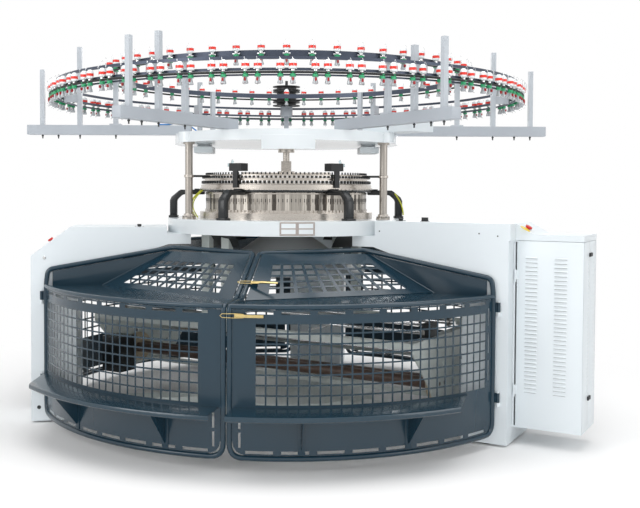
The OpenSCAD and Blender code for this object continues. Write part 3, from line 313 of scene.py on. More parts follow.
# Materials
def linear(hex_colour, alpha=1.0):
    """A colour written as sRGB hex, as Blender's linear values."""
    parts = [int(hex_colour[i:i + 2], 16) / 255 for i in (1, 3, 5)]
    return (*[c / 12.92 if c <= 0.04045 else ((c + 0.055) / 1.055) ** 2.4 for c in parts], alpha)


def node(tree, kind, values=None, links=None, **settings):
    """Adds one node with its settings, socket values and links."""
    added = tree.nodes.new(kind)
    for name, value in settings.items():
        setattr(added, name, value)
    for socket, value in (values or {}).items():
        added.inputs[socket].default_value = value
    for socket, source in (links or {}).items():
        tree.links.new(source, added.inputs[socket])
    return added


def blank(name):
    """A material with only its output and shader, and the place of each point on the object."""
    material = bpy.data.materials.new(name)
    material.use_nodes = True
    tree = material.node_tree
    tree.nodes.clear()
    output = node(tree, "ShaderNodeOutputMaterial")
    shader = node(tree, "ShaderNodeBsdfPrincipled")
    tree.links.new(shader.outputs["BSDF"], output.inputs["Surface"])
    place = node(tree, "ShaderNodeTexCoord").outputs["Object"]
    return material, tree, shader, place


def finish(name, colour, roughness, metallic=0.0, patch_mm=120, patch=0.06, grain_mm=4, relief_mm=0.05,
           stretch=(1, 1, 1), rough_by=0.08, coat=0.0, coat_roughness=0.1, ior=1.5):
    """A finish with slow patches of tone and a fine grain that roughens and lifts the surface.

    patch_mm and grain_mm are the sizes of a patch and of a grain, relief_mm is the grain's height, and
    stretch draws both out along an axis, as brushing and turning do."""
    material, tree, shader, place = blank(name)
    spread = node(tree, "ShaderNodeMapping", {"Scale": stretch}, {"Vector": place}).outputs["Vector"]
    patches = node(tree, "ShaderNodeTexNoise", {"Scale": 1000 / patch_mm, "Detail": 3.0}, {"Vector": spread})
    grain = node(tree, "ShaderNodeTexNoise", {"Scale": 1000 / grain_mm, "Detail": 2.0}, {"Vector": spread})
    dark = [c * (1 - patch) for c in linear(colour)[:3]]
    light = [min(1, c * (1 + patch)) for c in linear(colour)[:3]]
    tone = node(tree, "ShaderNodeMix", {6: (*dark, 1), 7: (*light, 1)}, {0: patches.outputs["Fac"]},
                data_type="RGBA")
    gloss = node(tree, "ShaderNodeMapRange", {"To Min": max(0.02, roughness - rough_by),
                                              "To Max": min(1, roughness + rough_by)},
                 {"Value": grain.outputs["Fac"]})
    lift = node(tree, "ShaderNodeBump", {"Strength": 1.0, "Distance": relief_mm / 1000},
                {"Height": grain.outputs["Fac"]})
    tree.links.new(tone.outputs[2], shader.inputs["Base Color"])
    tree.links.new(gloss.outputs["Result"], shader.inputs["Roughness"])
    tree.links.new(lift.outputs["Normal"], shader.inputs["Normal"])
    shader.inputs["Metallic"].default_value = metallic
    if not metallic:
        shader.inputs["IOR"].default_value = ior
    shader.inputs["Coat Weight"].default_value = coat
    shader.inputs["Coat Roughness"].default_value = coat_roughness
    return material


# White powder coat, sprayed and baked: an even satin with a faint orange peel
white_powder_coat = finish("white_powder_coat", "#D6DDE1", 0.36, patch_mm=700, patch=0.02, grain_mm=3,
                           relief_mm=0.03)
# White stove enamel of the turned table and top plate: smoother and brighter than the sheet panels
white_stove_enamel = finish("white_stove_enamel", "#DCE2E5", 0.22, patch_mm=600, patch=0.015, grain_mm=8,
                            relief_mm=0.02, coat=0.4)
# Slate-blue gloss enamel on the guards: wet gloss with a long, lazy orange peel
guard_gloss_enamel = finish("guard_gloss_enamel", "#152F3D", 0.22, patch_mm=300, patch=0.08, grain_mm=9,
                            relief_mm=0.06, coat=0.1, coat_roughness=0.08)
# The same enamel over rolled tread plate on the step and ledge: the relief breaks the highlights up
tread_plate_enamel = finish("tread_plate_enamel", "#17303D", 0.18, patch_mm=200, patch=0.08, grain_mm=16,
                            relief_mm=1.6, coat=0.3, coat_roughness=0.06)
# Grey machine paint on the beams: satin, slightly uneven
beam_grey_paint = finish("beam_grey_paint", "#A6ACB3", 0.42, patch_mm=260, patch=0.05, grain_mm=4,
                         relief_mm=0.04)
# Silver-grey lacquer on the square posts: a paler, drawn-out tone along the post
post_silver_lacquer = finish("post_silver_lacquer", "#B0B6BC", 0.36, patch_mm=90, patch=0.07, grain_mm=3,
                             relief_mm=0.04, stretch=(1, 1, 0.15))
# Stainless tube of the pillars, ground along its length: warm grey with upright streaks
ground_stainless = finish("ground_stainless", "#A8A29B", 0.32, 1.0, patch_mm=40, patch=0.14, grain_mm=3,
                          relief_mm=0.03, stretch=(1, 1, 0.06))
# Nickel plate over turned rings: warm silver with fine lines round the ring
turned_nickel = finish("turned_nickel", "#C2BBB3", 0.28, 1.0, patch_mm=60, patch=0.12, grain_mm=2.5,
                       relief_mm=0.03, stretch=(0.05, 0.05, 1))
# Bright chrome on small feeder parts and rods
bright_chrome = finish("bright_chrome", "#D9DADB", 0.12, 1.0, patch_mm=30, patch=0.1, grain_mm=4,
                       relief_mm=0.02)
# Blued steel of the carrier rings: dark slate with a dull shine
blued_steel = finish("blued_steel", "#474E5C", 0.38, 0.6, patch_mm=150, patch=0.14, grain_mm=4,
                     relief_mm=0.03)
# Machined grey steel of gears, shafts and journals
machined_steel = finish("machined_steel", "#A9A7A3", 0.34, 1.0, patch_mm=50, patch=0.1, grain_mm=2,
                        relief_mm=0.03)
# Zinc plate with a yellow chromate: brassy with a drift of tone
yellow_chromate = finish("yellow_chromate", "#D2BC82", 0.3, 0.9, patch_mm=22, patch=0.22, grain_mm=3,
                         relief_mm=0.03)
# Black moulded nylon: low sheen, fine grain
black_nylon = finish("black_nylon", "#17191B", 0.42, patch_mm=60, patch=0.15, grain_mm=1.5, relief_mm=0.05)
# Black enamel on drive boxes and motor parts
black_enamel = finish("black_enamel", "#1B1E20", 0.3, patch_mm=120, patch=0.12, grain_mm=5, relief_mm=0.04)
# Motor enamel, sprayed over a casting
motor_blue_grey = finish("motor_blue_grey", "#3A4B55", 0.4, patch_mm=80, patch=0.1, grain_mm=3, relief_mm=0.2)
# Brown varnished rubber cover of the take-down rollers: long streaks and a soft shine
brown_roller_rubber = finish("brown_roller_rubber", "#574338", 0.3, patch_mm=14, patch=0.3, grain_mm=5,
                             relief_mm=0.08, stretch=(0.25, 0.25, 1), coat=0.3)
# Belt rubber: dead black, slightly dusty
belt_rubber = finish("belt_rubber", "#1A1B1B", 0.7, patch_mm=70, patch=0.2, grain_mm=3, relief_mm=0.1)
# Blue PVC of the signal leads
blue_pvc = finish("blue_pvc", "#1673B9", 0.35, patch_mm=40, patch=0.08, grain_mm=2, relief_mm=0.05)
# Yellow-green PVC of the earth wires
earth_wire_pvc = finish("earth_wire_pvc", "#C6C83C", 0.35, patch_mm=12, patch=0.35, grain_mm=2,
                        relief_mm=0.04)
# Moulded feeder parts: white polystyrene, red and green ABS, dark red acetal
feeder_white = finish("feeder_white_polystyrene", "#E3E8EA", 0.28, patch_mm=30, patch=0.05, grain_mm=3,
                      relief_mm=0.03)
feeder_smoke = finish("feeder_smoked_polycarbonate", "#A9ADB0", 0.18, 0.25, patch_mm=12, patch=0.25,
                      grain_mm=4, relief_mm=0.03)
feeder_red = finish("feeder_red_abs", "#DE3426", 0.3, patch_mm=20, patch=0.1, grain_mm=3, relief_mm=0.03)
feeder_green = finish("feeder_green_abs", "#2F9C68", 0.3, patch_mm=20, patch=0.1, grain_mm=3, relief_mm=0.03)
stop_red = finish("stop_clip_dark_red_acetal", "#96161B", 0.3, patch_mm=15, patch=0.12, grain_mm=3,
                  relief_mm=0.03)
# Signal red of the push buttons and signal yellow of the ring under the emergency button
button_red = finish("button_red_moulding", "#C4241C", 0.28, patch_mm=30, patch=0.06, grain_mm=3,
                    relief_mm=0.03)
signal_yellow = finish("signal_yellow_anodising", "#DCC23A", 0.35, patch_mm=20, patch=0.08, grain_mm=3,
                       relief_mm=0.03)
# Anodised aluminium of the data plates: a warm grey with fine lines along the plate
plate_aluminium = finish("plate_anodised_aluminium", "#A59C97", 0.35, 0.5, patch_mm=50, patch=0.05,
                         grain_mm=2, relief_mm=0.02, stretch=(0.05, 0.05, 1))
# Pale grey-green paint on the floor platform and end plates, a little scuffed
platform_paint = finish("platform_pale_paint", "#D5DCD9", 0.4, patch_mm=180, patch=0.06, grain_mm=5,
                        relief_mm=0.05)
# Sand-cast hub bodies, beige primer showing through
beige_casting = finish("beige_cast_iron_paint", "#C2B49C", 0.5, patch_mm=25, patch=0.12, grain_mm=4,
                       relief_mm=0.2)


def cam_plate_finish():
    """Ground cam plates: each one round the cylinder was ground and fitted alone, so each has its tone."""
    material, tree, shader, place = blank("cam_plate_nickel")
    split = node(tree, "ShaderNodeSeparateXYZ", links={0: place})
    angle = node(tree, "ShaderNodeMath", links={0: split.outputs["Y"], 1: split.outputs["X"]},
                 operation="ARCTAN2")
    share = node(tree, "ShaderNodeMath", {1: CAM_COUNT / FULL_TURN}, {0: angle.outputs[0]},
                 operation="MULTIPLY")
    index = node(tree, "ShaderNodeMath", operation="ROUND", links={0: share.outputs[0]})
    odds = node(tree, "ShaderNodeTexWhiteNoise", links={"W": index.outputs[0]}, noise_dimensions="1D")
    pair = node(tree, "ShaderNodeMath", {1: 2.0}, {0: index.outputs[0]}, operation="FLOORED_MODULO")
    weave = node(tree, "ShaderNodeMath", {1: 0.45}, {0: pair.outputs[0]}, operation="MULTIPLY")
    level = node(tree, "ShaderNodeMath", {1: 0.55, 2: 0.0}, {0: odds.outputs["Value"]},
                 operation="MULTIPLY_ADD")
    tree.links.new(weave.outputs[0], level.inputs[2])
    tone = node(tree, "ShaderNodeMix", {6: linear("#48433E"), 7: linear("#DDD6CC")}, {0: level.outputs[0]},
                data_type="RGBA")
    tree.links.new(tone.outputs[2], shader.inputs["Base Color"])
    shader.inputs["Metallic"].default_value = 1.0
    shader.inputs["Roughness"].default_value = 0.32
    return material


cam_plate_nickel = cam_plate_finish()


def clear_finish():
    """Clear moulded acrylic of the fan blades: sees through, with a bright edge."""
    material, tree, shader, place = blank("clear_moulded_acrylic")
    haze = node(tree, "ShaderNodeTexNoise", {"Scale": 60.0}, {"Vector": place})
    gloss = node(tree, "ShaderNodeMapRange", {"To Min": 0.03, "To Max": 0.12}, {"Value": haze.outputs["Fac"]})
    tree.links.new(gloss.outputs["Result"], shader.inputs["Roughness"])
    shader.inputs["Base Color"].default_value = linear("#DDF0F4")
    shader.inputs["Transmission Weight"].default_value = 0.9
    shader.inputs["IOR"].default_value = 1.49
    return material


clear_acrylic = clear_finish()


# Guard doors: bent tube round a punched wall, a ledge, a drilled slope and an upright plate along the leg
SEAM_AZ = -101
SEAM_OFF = 0.0165
SEAM_TURN = math.degrees(math.asin(SEAM_OFF / GUARD_R))
APEX_OUT = 0.031
FRAME_BEND = 0.075
CORNER_IN = 0.012
CORNER_RISE = 0.104
LEDGE_IN_R = 1.370
LEDGE_Z = GUARD_HIGH - 0.001
KNEE_LIFT = 0.004
PLATE_FROM = 0.028
RIDGE_SHARE = 0.43
TIP_IN = 0.042
SHEET = 0.003
WALL_LOW = GUARD_LOW + TUBE_R + SEAT_GAP
WALL_HIGH = GUARD_HIGH - TUBE_R - SEAT_GAP
POST_BEND = 0.03
RIDGE_BEND = 0.035
SEAM_BEND = 0.04
LEDGE_STEPS = 24
STEP_STEPS = 28
ROD_R = 0.0065
GUSSET_LOW = 0.131


def apex(azimuth, along_leg, off_face):
    """Where a leaf's sloping tube meets its inner edge, next to the face of a leg."""
    return turned(azimuth) @ Vector((along_leg, off_face, RIM_Z))


def seam_point(side):
    """Where a leaf's inner edge meets the seam, on the left (-1) or on the right (1)."""
    azimuth = SEAM_AZ + side * math.degrees(math.asin(SEAM_OFF / RIM_R))
    return polar(RIM_R, azimuth, RIM_Z - 0.008)


def bend(before, corner, after, radius, steps=6):
    """A corner of a route, rounded over a length to each side."""
    start = corner + (before - corner).normalized() * radius
    end = corner + (after - corner).normalized() * radius
    turns = [i / steps for i in range(steps + 1)]
    return [(1 - t) ** 2 * start + 2 * t * (1 - t) * corner + t ** 2 * end for t in turns]


def arc(radius, start, end, height, steps):
    """Points on a circle between two azimuths."""
    return [polar(radius, start + (end - start) * i / steps, height) for i in range(steps + 1)]


def along(points, share):
    """The point at a share of a row of points, by count."""
    at = share * (len(points) - 1)
    i = min(int(at), len(points) - 2)
    return points[i].lerp(points[i + 1], at - i)


class Leaf:
    """One guard door between its seam or post edge and its hinge edge."""

    def __init__(self, start, hinge, top, rim, chords=1):
        self.start, self.hinge, self.chords = start, hinge, chords
        self.way = math.copysign(1, hinge - start)
        self.corner = polar(GUARD_R - CORNER_IN, hinge, GUARD_HIGH + CORNER_RISE)
        self.inner = [top] + self.ring(top, rim, RIM_R, RIM_Z, hinge, start)[1:-1] + [rim]
        foot = self.corner.lerp(top, RIDGE_SHARE)
        self.foot = Vector((foot.x, foot.y, LEDGE_Z))
        rim_r = math.hypot(rim.x, rim.y)
        self.knee = rim.lerp(polar(GUARD_R, start, 0), (LEDGE_IN_R - rim_r) / (GUARD_R - rim_r))
        self.knee.z = LEDGE_Z + KNEE_LIFT
        self.ledge = [self.foot] + self.ring(self.foot, self.knee, LEDGE_IN_R, LEDGE_Z, hinge, start)[1:]
        chord = self.inner[1] - top
        self.out = 1 + (TUBE_R + 0.001) * math.hypot(chord.x, chord.y) / abs(top.cross(chord).z)

    def ring(self, first, last, radius, height, near_first, near_last):
        """Points on a circle from the azimuth of one point to that of another, one for each chord."""
        spans = [math.degrees(math.atan2(p.y, p.x)) for p in (first, last)]
        a, b = [span + 360 * round((near - span) / 360) for span, near in zip(spans, (near_first, near_last))]
        return arc(radius, a, b, height, self.chords)

    def aside(self, distance, radius=GUARD_R):
        """An azimuth step of a distance from the start edge into the leaf."""
        return self.way * math.degrees(distance / radius)

    def low_route(self):
        """The tube below: down the start edge, along the floor and up the hinge edge."""
        a0, a1, turn = self.start, self.hinge, self.aside(FRAME_BEND)
        mid0, mid1 = polar(GUARD_R, a0, GUARD_MID), polar(GUARD_R, a1, GUARD_MID)
        low0, low1 = polar(GUARD_R, a0, GUARD_LOW), polar(GUARD_R, a1, GUARD_LOW)
        return ([mid0] + bend(mid0, low0, polar(GUARD_R, a0 + turn, GUARD_LOW), FRAME_BEND)
                + arc(GUARD_R, a0 + 1.2 * turn, a1 - 1.2 * turn, GUARD_LOW, 30)
                + bend(polar(GUARD_R, a1 - turn, GUARD_LOW), low1, mid1, FRAME_BEND) + [mid1])

    def high_route(self):
        """The tube above: up the hinge edge, over the slope and down the seam."""
        high0, high1 = polar(GUARD_R, self.start, GUARD_HIGH), polar(GUARD_R, self.hinge, GUARD_HIGH + 0.015)
        mid0, mid1 = polar(GUARD_R, self.start, GUARD_MID), polar(GUARD_R, self.hinge, GUARD_MID)
        knee, top, rim = self.knee, self.inner[0], self.inner[-1]
        return ([mid1] + bend(mid1, high1, self.corner, POST_BEND) + bend(high1, self.corner, top, RIDGE_BEND)
                + bend(self.corner, top, self.inner[1], POST_BEND) + self.inner[1:-1]
                + bend(self.inner[-2], rim, knee, SEAM_BEND) + bend(rim, knee, high0, SEAM_BEND)
                + bend(knee, high0, mid0, POST_BEND) + [mid0])


left_leaf = Leaf(SEAM_AZ - SEAM_TURN, -158.60, apex(LEFT_AZ, 0.790, LEFT_FRONT + APEX_OUT), seam_point(-1))
right_leaf = Leaf(SEAM_AZ + SEAM_TURN, -42.51, apex(RIGHT_AZ, 0.770, -RIGHT_FRONT - APEX_OUT), seam_point(1))
rear_left_leaf = Leaf(88.0, 184.33, apex(LEFT_AZ, 0.850, LEFT_FRONT - LEG_W - APEX_OUT),
                      apex(REAR_AZ, 0.880, LEG_W / 2 + APEX_OUT), 4)
rear_right_leaf = Leaf(71.0, -25.45, apex(RIGHT_AZ, 0.850, LEG_W - RIGHT_FRONT + APEX_OUT),
                       apex(REAR_AZ, 0.880, -LEG_W / 2 - APEX_OUT), 4)


def spread(start, end, count, open_share):
    """Spans of holes, evenly spread between two ends, each open over a share of its pitch."""
    pitch = (end - start) / count
    half = pitch * open_share / 2
    return [(start + (i + 0.5) * pitch - half, start + (i + 0.5) * pitch + half) for i in range(count)]


def within(value, spans):
    """Whether a value lies inside one of the spans."""
    return any(min(a, b) < value < max(a, b) for a, b in spans)


def lines(*groups):
    """All ends of the spans and all single values, sorted, without near doubles."""
    items = [item for group in groups for item in group]
    values = sorted(v for item in items for v in (item if isinstance(item, tuple) else (item,)))
    return [v for i, v in enumerate(values) if i == 0 or v - values[i - 1] > 1e-4]


def wall_holes(width, columns, rows):
    """A wall's punched openings as (spans across, spans up): the screen, rows of slots and edge slots."""
    screen = (spread(0.122, width - 0.062, columns, 0.84), spread(SCREEN_LOW, SCREEN_HIGH, rows, 0.84))
    slots = spread(0.05, width - 0.05, 8, 0.77)
    return [screen, (slots, [(WALL_LOW + 0.008, WALL_LOW + 0.024)]),
            (slots, [(WALL_HIGH - 0.024, WALL_HIGH - 0.008)]),
            ([(0.034, 0.046)], [(0.135, 0.215), (0.235, 0.315)]),
            ([(width - 0.040, width - 0.028)], [(0.40, 0.52), (0.56, 0.68), (0.72, 0.82)])]


def leaf_wall(leaf, columns, rows):
    """The curved wall, drawn by the distance from its start edge and the height."""
    width = abs(leaf.hinge - leaf.start) / 360 * FULL_TURN * GUARD_R - 2 * TUBE_R
    holes = wall_holes(width, columns, rows)
    ends = [FRAME_BEND * f for f in (0, 0.1, 0.3, 0.6, 1)]
    us = lines(*[across for across, up in holes], ends, [width - e for e in ends])
    vs = lines(*[up for across, up in holes], [WALL_LOW, 0.12, 0.18, 0.27, WALL_HIGH])

    def place(u, v):
        edge = min(u, width - u)
        rise = 0 if edge >= FRAME_BEND else FRAME_BEND - math.sqrt(FRAME_BEND ** 2 - (FRAME_BEND - edge) ** 2)
        return polar(GUARD_R, leaf.start + leaf.aside(u + TUBE_R), max(v, WALL_LOW + rise))

    wall = grid_sheet(us, vs, place, lambda u, v: any(within(u, a) and within(v, b) for a, b in holes), 0.002)
    return outwards(wall)


def leaf_ledge(leaf):
    """The flat ledge between the arc tube and the foot of the slope."""
    outer = arc(GUARD_R - TUBE_R, leaf.start + leaf.aside(0.025), leaf.hinge - leaf.aside(0.019), LEDGE_Z,
                LEDGE_STEPS)
    inner = [along(leaf.ledge[::-1], i / LEDGE_STEPS) for i in range(LEDGE_STEPS + 1)]
    heel = leaf.corner.lerp(leaf.inner[0], 0.02)
    inner = inner[:-1] + [leaf.foot]
    outer = outer[:-1] + [Vector((heel.x, heel.y, LEDGE_Z))]
    return grid_sheet(range(LEDGE_STEPS + 1), (0, 1), lambda i, v: outer[i].lerp(inner[i], v), no_holes,
                      SHEET, -1)


def leaf_slope(leaf, columns, rows):
    """The drilled slope from the ledge line up to the inner edge."""
    tip = leaf.corner.lerp(leaf.inner[0], 1 - TIP_IN / (leaf.inner[0] - leaf.corner).length)
    near = [Vector((p.x * leaf.out, p.y * leaf.out, p.z - SHEET)) for p in leaf.inner]
    near[0] = tip - Vector((0, 0, TUBE_R + 0.002))
    near[-1] = near[-1].lerp(near[-2], 0.022 / (near[-2] - near[-1]).length)
    last = leaf.ledge[-1]
    last_az = math.degrees(math.atan2(last.y, last.x))
    low = leaf.ledge[:-1] + [polar(LEDGE_IN_R, last_az + leaf.aside(0.027), LEDGE_Z)]
    across = spread(0.11, 0.90, columns, 0.74) if columns else []
    up = spread(0.10, 0.76, rows, 0.72) if rows else []
    us = lines(across, [i / 8 for i in range(9)])
    vs = lines(up, [0, 1])
    return grid_sheet(us, vs, lambda u, v: along(low, u).lerp(along(near, u), v),
                      lambda u, v: within(u, across) and within(v, up), SHEET, -1)


def leaf_side(leaf):
    """The upright plate along the leg, below the sloping tube, and the rod on its ridge."""
    way = leaf.inner[0] - leaf.corner
    reach = math.hypot(way.x, way.y)
    under = [leaf.corner.z + way.z * d / reach - TUBE_R - 0.002 for d in (PLATE_FROM, reach - TIP_IN)]
    low = LEDGE_Z - 0.006
    plate = prism([(PLATE_FROM, low), (PLATE_FROM, under[0]), (reach - TIP_IN, under[1]),
                   (reach - TIP_IN, under[1] - 0.006), (RIDGE_SHARE * reach, low)], SHEET, 0.0006)
    ridge_az = math.degrees(math.atan2(way.y, way.x))
    plate.data.transform(Matrix.Translation((leaf.corner.x, leaf.corner.y, 0)) @ turned(ridge_az))
    tip = leaf.corner + way * (1 - TIP_IN / reach)
    rod_top = Vector((tip.x, tip.y, under[1]))
    return [plate, rod(leaf.foot, rod_top, ROD_R, 10)]


def leaf_step(start, wall_end, tip_end, gussets):
    """The standing step with its rolled lip, and the triangles that carry it."""
    profile = [(0.0, 0.004), (STEP_D - 0.012, 0.004), (STEP_D - 0.004, 0.0015), (STEP_D, -0.006),
               (STEP_D, -0.018), (STEP_D - 0.005, -0.0235)]
    us = [i / STEP_STEPS for i in range(STEP_STEPS + 1)]

    def place(u, k):
        out, up = profile[k]
        end = wall_end + (tip_end - wall_end) * out / STEP_D
        return polar(GUARD_R + 0.001 + out, start + (end - start) * u, STEP_Z + up)

    top = grid_sheet(us, range(len(profile)), place, no_holes, SHEET, -1)
    drop = GUSSET_LOW - STEP_Z
    plate = prism([(0.0, 0.0), (STEP_D - 0.02, 0.0), (0.012, drop), (0.0, drop)], 0.004, 0.0008)
    plates = copied(plate, [placed(az, GUARD_R, 0, STEP_Z - 0.001) for az in gussets])
    bar = box((0.0012, -0.02, 0.10), (0.005, 0.02, STEP_Z - 0.004), 0.0008)
    bars = copied(bar, [placed(az, GUARD_R) for az in gussets])
    return [painted(outwards(top), tread_plate_enamel), plates, bars]


def guard_door(name, body, leaf, wall_mesh, slope_mesh, stands_for, extras=()):
    """One whole leaf; wall_mesh and slope_mesh are how many holes each has across and up."""
    inset = leaf.aside(0.005)
    tubes = [tube(leaf.low_route(), TUBE_R, 12), tube(leaf.high_route(), TUBE_R, 12),
             tube(arc(GUARD_R, leaf.start + inset, leaf.hinge - inset, GUARD_HIGH, 36), TUBE_R - 0.0005, 12)]
    sheets = [leaf_wall(leaf, *wall_mesh), outwards(leaf_slope(leaf, *slope_mesh))]
    parts = tubes + sheets + leaf_side(leaf)
    for part in parts:
        painted(part, guard_gloss_enamel)
    ledge = painted(outwards(leaf_ledge(leaf)), tread_plate_enamel)
    for extra in extras:
        if not extra.data.materials:
            painted(extra, guard_gloss_enamel)
    keep(joined(parts + [ledge] + list(extras)), name, body, stands_for=stands_for)


# Hinge knuckles on the leaves, placed from the face of the leg
PIN_OUT = 0.016
PIN_SIDE = 0.030
HINGE_LOW_Z = (0.240, 0.770)
KNUCKLE_LOW, KNUCKLE_HIGH = 0.0243, 0.0803


def knuckles(azimuth, face, out):
    """Both hinge knuckles of a leaf, each with the strap that joins it to the tube."""
    along_leg = math.sqrt(GUARD_R ** 2 - (abs(face) + LEG_GAP) ** 2) + PIN_SIDE
    pin = face + out * PIN_OUT
    barrel = rod((along_leg, pin, KNUCKLE_LOW), (along_leg, pin, KNUCKLE_HIGH), 0.010, 20, 0.001)
    leaf_plate = box((along_leg + TUBE_R - PIN_SIDE - 0.006, pin - 0.004, KNUCKLE_LOW),
                     (along_leg, pin + 0.004, KNUCKLE_HIGH), 0.001)
    return copied(joined([barrel, leaf_plate]), [placed(azimuth, height=z) for z in HINGE_LOW_Z])


# Toggle latches on the right leaf: a base, a lever, and a wire loop over the left leaf that stays in its
# place as the lever lifts
LATCH_LIFT = 0.016
LATCH_HIGH_R = 1.235
LOW_LATCH_AZ, LOW_LATCH_Z = -99.2, 0.838
HIGH_LATCH_AZ = -99.0
SLOPE = math.atan2(RIM_Z - 0.011 - LEDGE_Z, LEDGE_IN_R - RIM_R * right_leaf.out)


def latch_place(azimuth, radius, height, tip):
    """A latch is drawn with x across the seam, y towards the sheet and z up the sheet."""
    return (placed(azimuth, radius, 0, height) @ Matrix.Rotation(-tip, 4, "Y")
            @ Matrix.Rotation(math.pi / 2, 4, "Z"))


low_latch = latch_place(LOW_LATCH_AZ, GUARD_R + 0.001 + LATCH_LIFT, LOW_LATCH_Z, 0)
slope_z = LEDGE_Z + (LEDGE_IN_R - LATCH_HIGH_R) * math.tan(SLOPE)
high_latch = latch_place(HIGH_LATCH_AZ, LATCH_HIGH_R + LATCH_LIFT * math.sin(SLOPE),
                         slope_z + LATCH_LIFT * math.cos(SLOPE), math.pi / 2 - SLOPE)


def latch(name, body, place):
    """One toggle lever with its pivot, and its wire loop as a piece of the right door."""
    lever = prism([(0.0, -0.005), (0.060, -0.009), (0.150, -0.004), (0.152, -0.001), (0.150, 0.001),
                   (0.060, 0.0), (0.0, 0.004), (-0.004, 0.0)], 0.016, 0.002)
    lever.data.transform(Matrix.Rotation(-math.pi / 2, 4, "X"))
    pivot = rod((0, 0, -0.011), (0, 0, 0.011), 0.006, 16, 0.001)
    loop_half = [(0.046, -0.002, 0.009), (0.0, -0.003, 0.0115), (-0.070, -0.003, 0.010)]
    other_half = [(x, y, -z) for x, y, z in reversed(loop_half)]
    loop = tube(loop_half + [(-0.082, -0.003, 0.0)] + other_half, 0.0021, 8)
    whole = joined([lever, pivot])
    whole.data.transform(place)
    loop.data.transform(place)
    keep(whole, name, body, yellow_chromate, [body])
    keep(loop, name + "_loop", "right_door", yellow_chromate)


latch("lower_toggle", "lower_latch", low_latch)
latch("upper_toggle", "upper_latch", high_latch)
bases = copied(box((-0.010, 0.0063, -0.012), (0.034, 0.024, 0.012), 0.002), [low_latch, high_latch])

FRONT_MESH, FRONT_SLOPE_MESH = (25, 8), (10, 5)
REAR_MESH, NO_MESH = (28, 6), (0, 0)
STEP_FROM_SEAM = 0.8
left_step = leaf_step(left_leaf.start - STEP_FROM_SEAM, -157, -145, (-137.7, -113.3))
guard_door("left_guard_door", "left_door", left_leaf, FRONT_MESH, FRONT_SLOPE_MESH,
           ["left_door_frame", "left_door_screen"], left_step + [knuckles(LEFT_AZ, LEFT_FRONT, 1)])
right_step = leaf_step(right_leaf.start + STEP_FROM_SEAM, -51, -59.6, (-87, -66))
guard_door("right_guard_door", "right_door", right_leaf, FRONT_MESH, FRONT_SLOPE_MESH,
           ["right_door_frame", "right_door_screen"],
           right_step + [knuckles(RIGHT_AZ, -RIGHT_FRONT, -1), bases])
guard_door("rear_left_guard_door", "rear_left_door", rear_left_leaf, REAR_MESH, NO_MESH, ["rear_left_door"],
           [knuckles(LEFT_AZ, LEFT_FRONT - LEG_W, -1)])
guard_door("rear_right_guard_door", "rear_right_door", rear_right_leaf, REAR_MESH, NO_MESH,
           ["rear_right_door"], [knuckles(RIGHT_AZ, LEG_W - RIGHT_FRONT, 1)])


# Knitting head
def ring(outer, inner, low, high, edge=0.0, steps=128):
    """A turned ring with a small chamfer on its four edges."""
    e = max(edge, 0.0004)
    return lathe([(inner + e, low), (outer - e, low), (outer, low + e), (outer, high - e), (outer - e, high),
                  (inner + e, high), (inner, high - e), (inner, low + e)], steps)


def around(count, radius, height=0.0, start=0.0):
    """Even places round the axis."""
    return [placed(start + i * 360 / count, radius, 0, height) for i in range(count)]


# One black patch on each cam plate, painted shade standing for its keyhole, and one cap screw for each cam
# plate, under a chamfered cap ring
CAM_SCREW_Z = 1.484
CAP_RING_LOW, CAP_RING_HIGH = 1.4715, 1.481
SINKER_RING_R, SINKER_RING_BORE = 0.592, 0.563
# Each black patch is painted shade: the dark inside of a keyhole, drawn as a thin black plate on the plate's
# face
keyhole_shade_patch = box((0.0, -0.0026, -0.011), (0.0012, 0.0026, 0.011), 0.0005)
keep(copied(keyhole_shade_patch, around(CAM_COUNT, CAM_R - 0.0002, CAM_Z + 0.064)), "cam_keyhole_painted_shade", "machine",
     black_nylon)
cap_screw = rod((0, 0, 0), (0, 0, 0.004), 0.0042, 8, 0.0006)
keep(copied(cap_screw, around(CAM_COUNT, CAM_R - 0.012, CAM_SCREW_Z)), "cam_cap_screws", "machine",
     black_enamel)
keep(ring(CAM_R + 0.0035, CAM_R - 0.004, CAP_RING_LOW, CAP_RING_HIGH, 0.001), "cam_cap_ring", "machine",
     turned_nickel)
keep(ring(SINKER_RING_R, SINKER_RING_BORE, 1.4865, 1.4995, 0.002), "sinker_cap_ring", "machine",
     black_enamel)
GUIDE_EYES = 108
guide_eye = rod((0, 0, 0), (0.012, 0, -0.006), 0.0022, 8)
keep(copied(guide_eye, around(GUIDE_EYES, YARN_RING_R - 0.006, YARN_RING_Z + 0.0075)), "yarn_guide_eyes",
     "machine", bright_chrome)

# Adjusting shoes in two rows on the dial's cam ring, parted by bright strips, and a row of posts on top
SHOES = 125
HALF_SHOE = 180 / SHOES
SHOE_Z = 1.551
UPPER_SHOE_R, UPPER_SHOE_Z = 0.5775, 1.5845
ADJUSTER_POST_R, ADJUSTER_POST_Z = 0.557, 1.600
shoe = box((-0.001, -0.0068, -0.0095), (0.0105, 0.0068, 0.0095), 0.0032)
shoes = copied(shoe, around(SHOES, DIAL_RING_R, SHOE_Z))
upper_shoe = box((-0.001, -0.0064, -0.0075), (0.0080, 0.0064, 0.0075), 0.0028)
upper_shoes = copied(upper_shoe, around(SHOES, UPPER_SHOE_R, UPPER_SHOE_Z, HALF_SHOE))
post = rod((0, 0, -0.0005), (0, 0, 0.0155), 0.0052, 10, 0.0016)
posts = copied(post, around(SHOES, ADJUSTER_POST_R, ADJUSTER_POST_Z))
keep(joined([shoes, upper_shoes, posts]), "cam_adjusting_shoes", "machine", black_nylon,
     ["cam_adjusters"])
strip = box((-0.0005, -0.0022, -0.010), (0.0045, 0.0022, 0.010), 0.0006)
strips = copied(strip, around(SHOES, DIAL_RING_R, SHOE_Z, HALF_SHOE))
upper_strip = box((-0.0005, -0.0022, -0.008), (0.0035, 0.0022, 0.008), 0.0006)
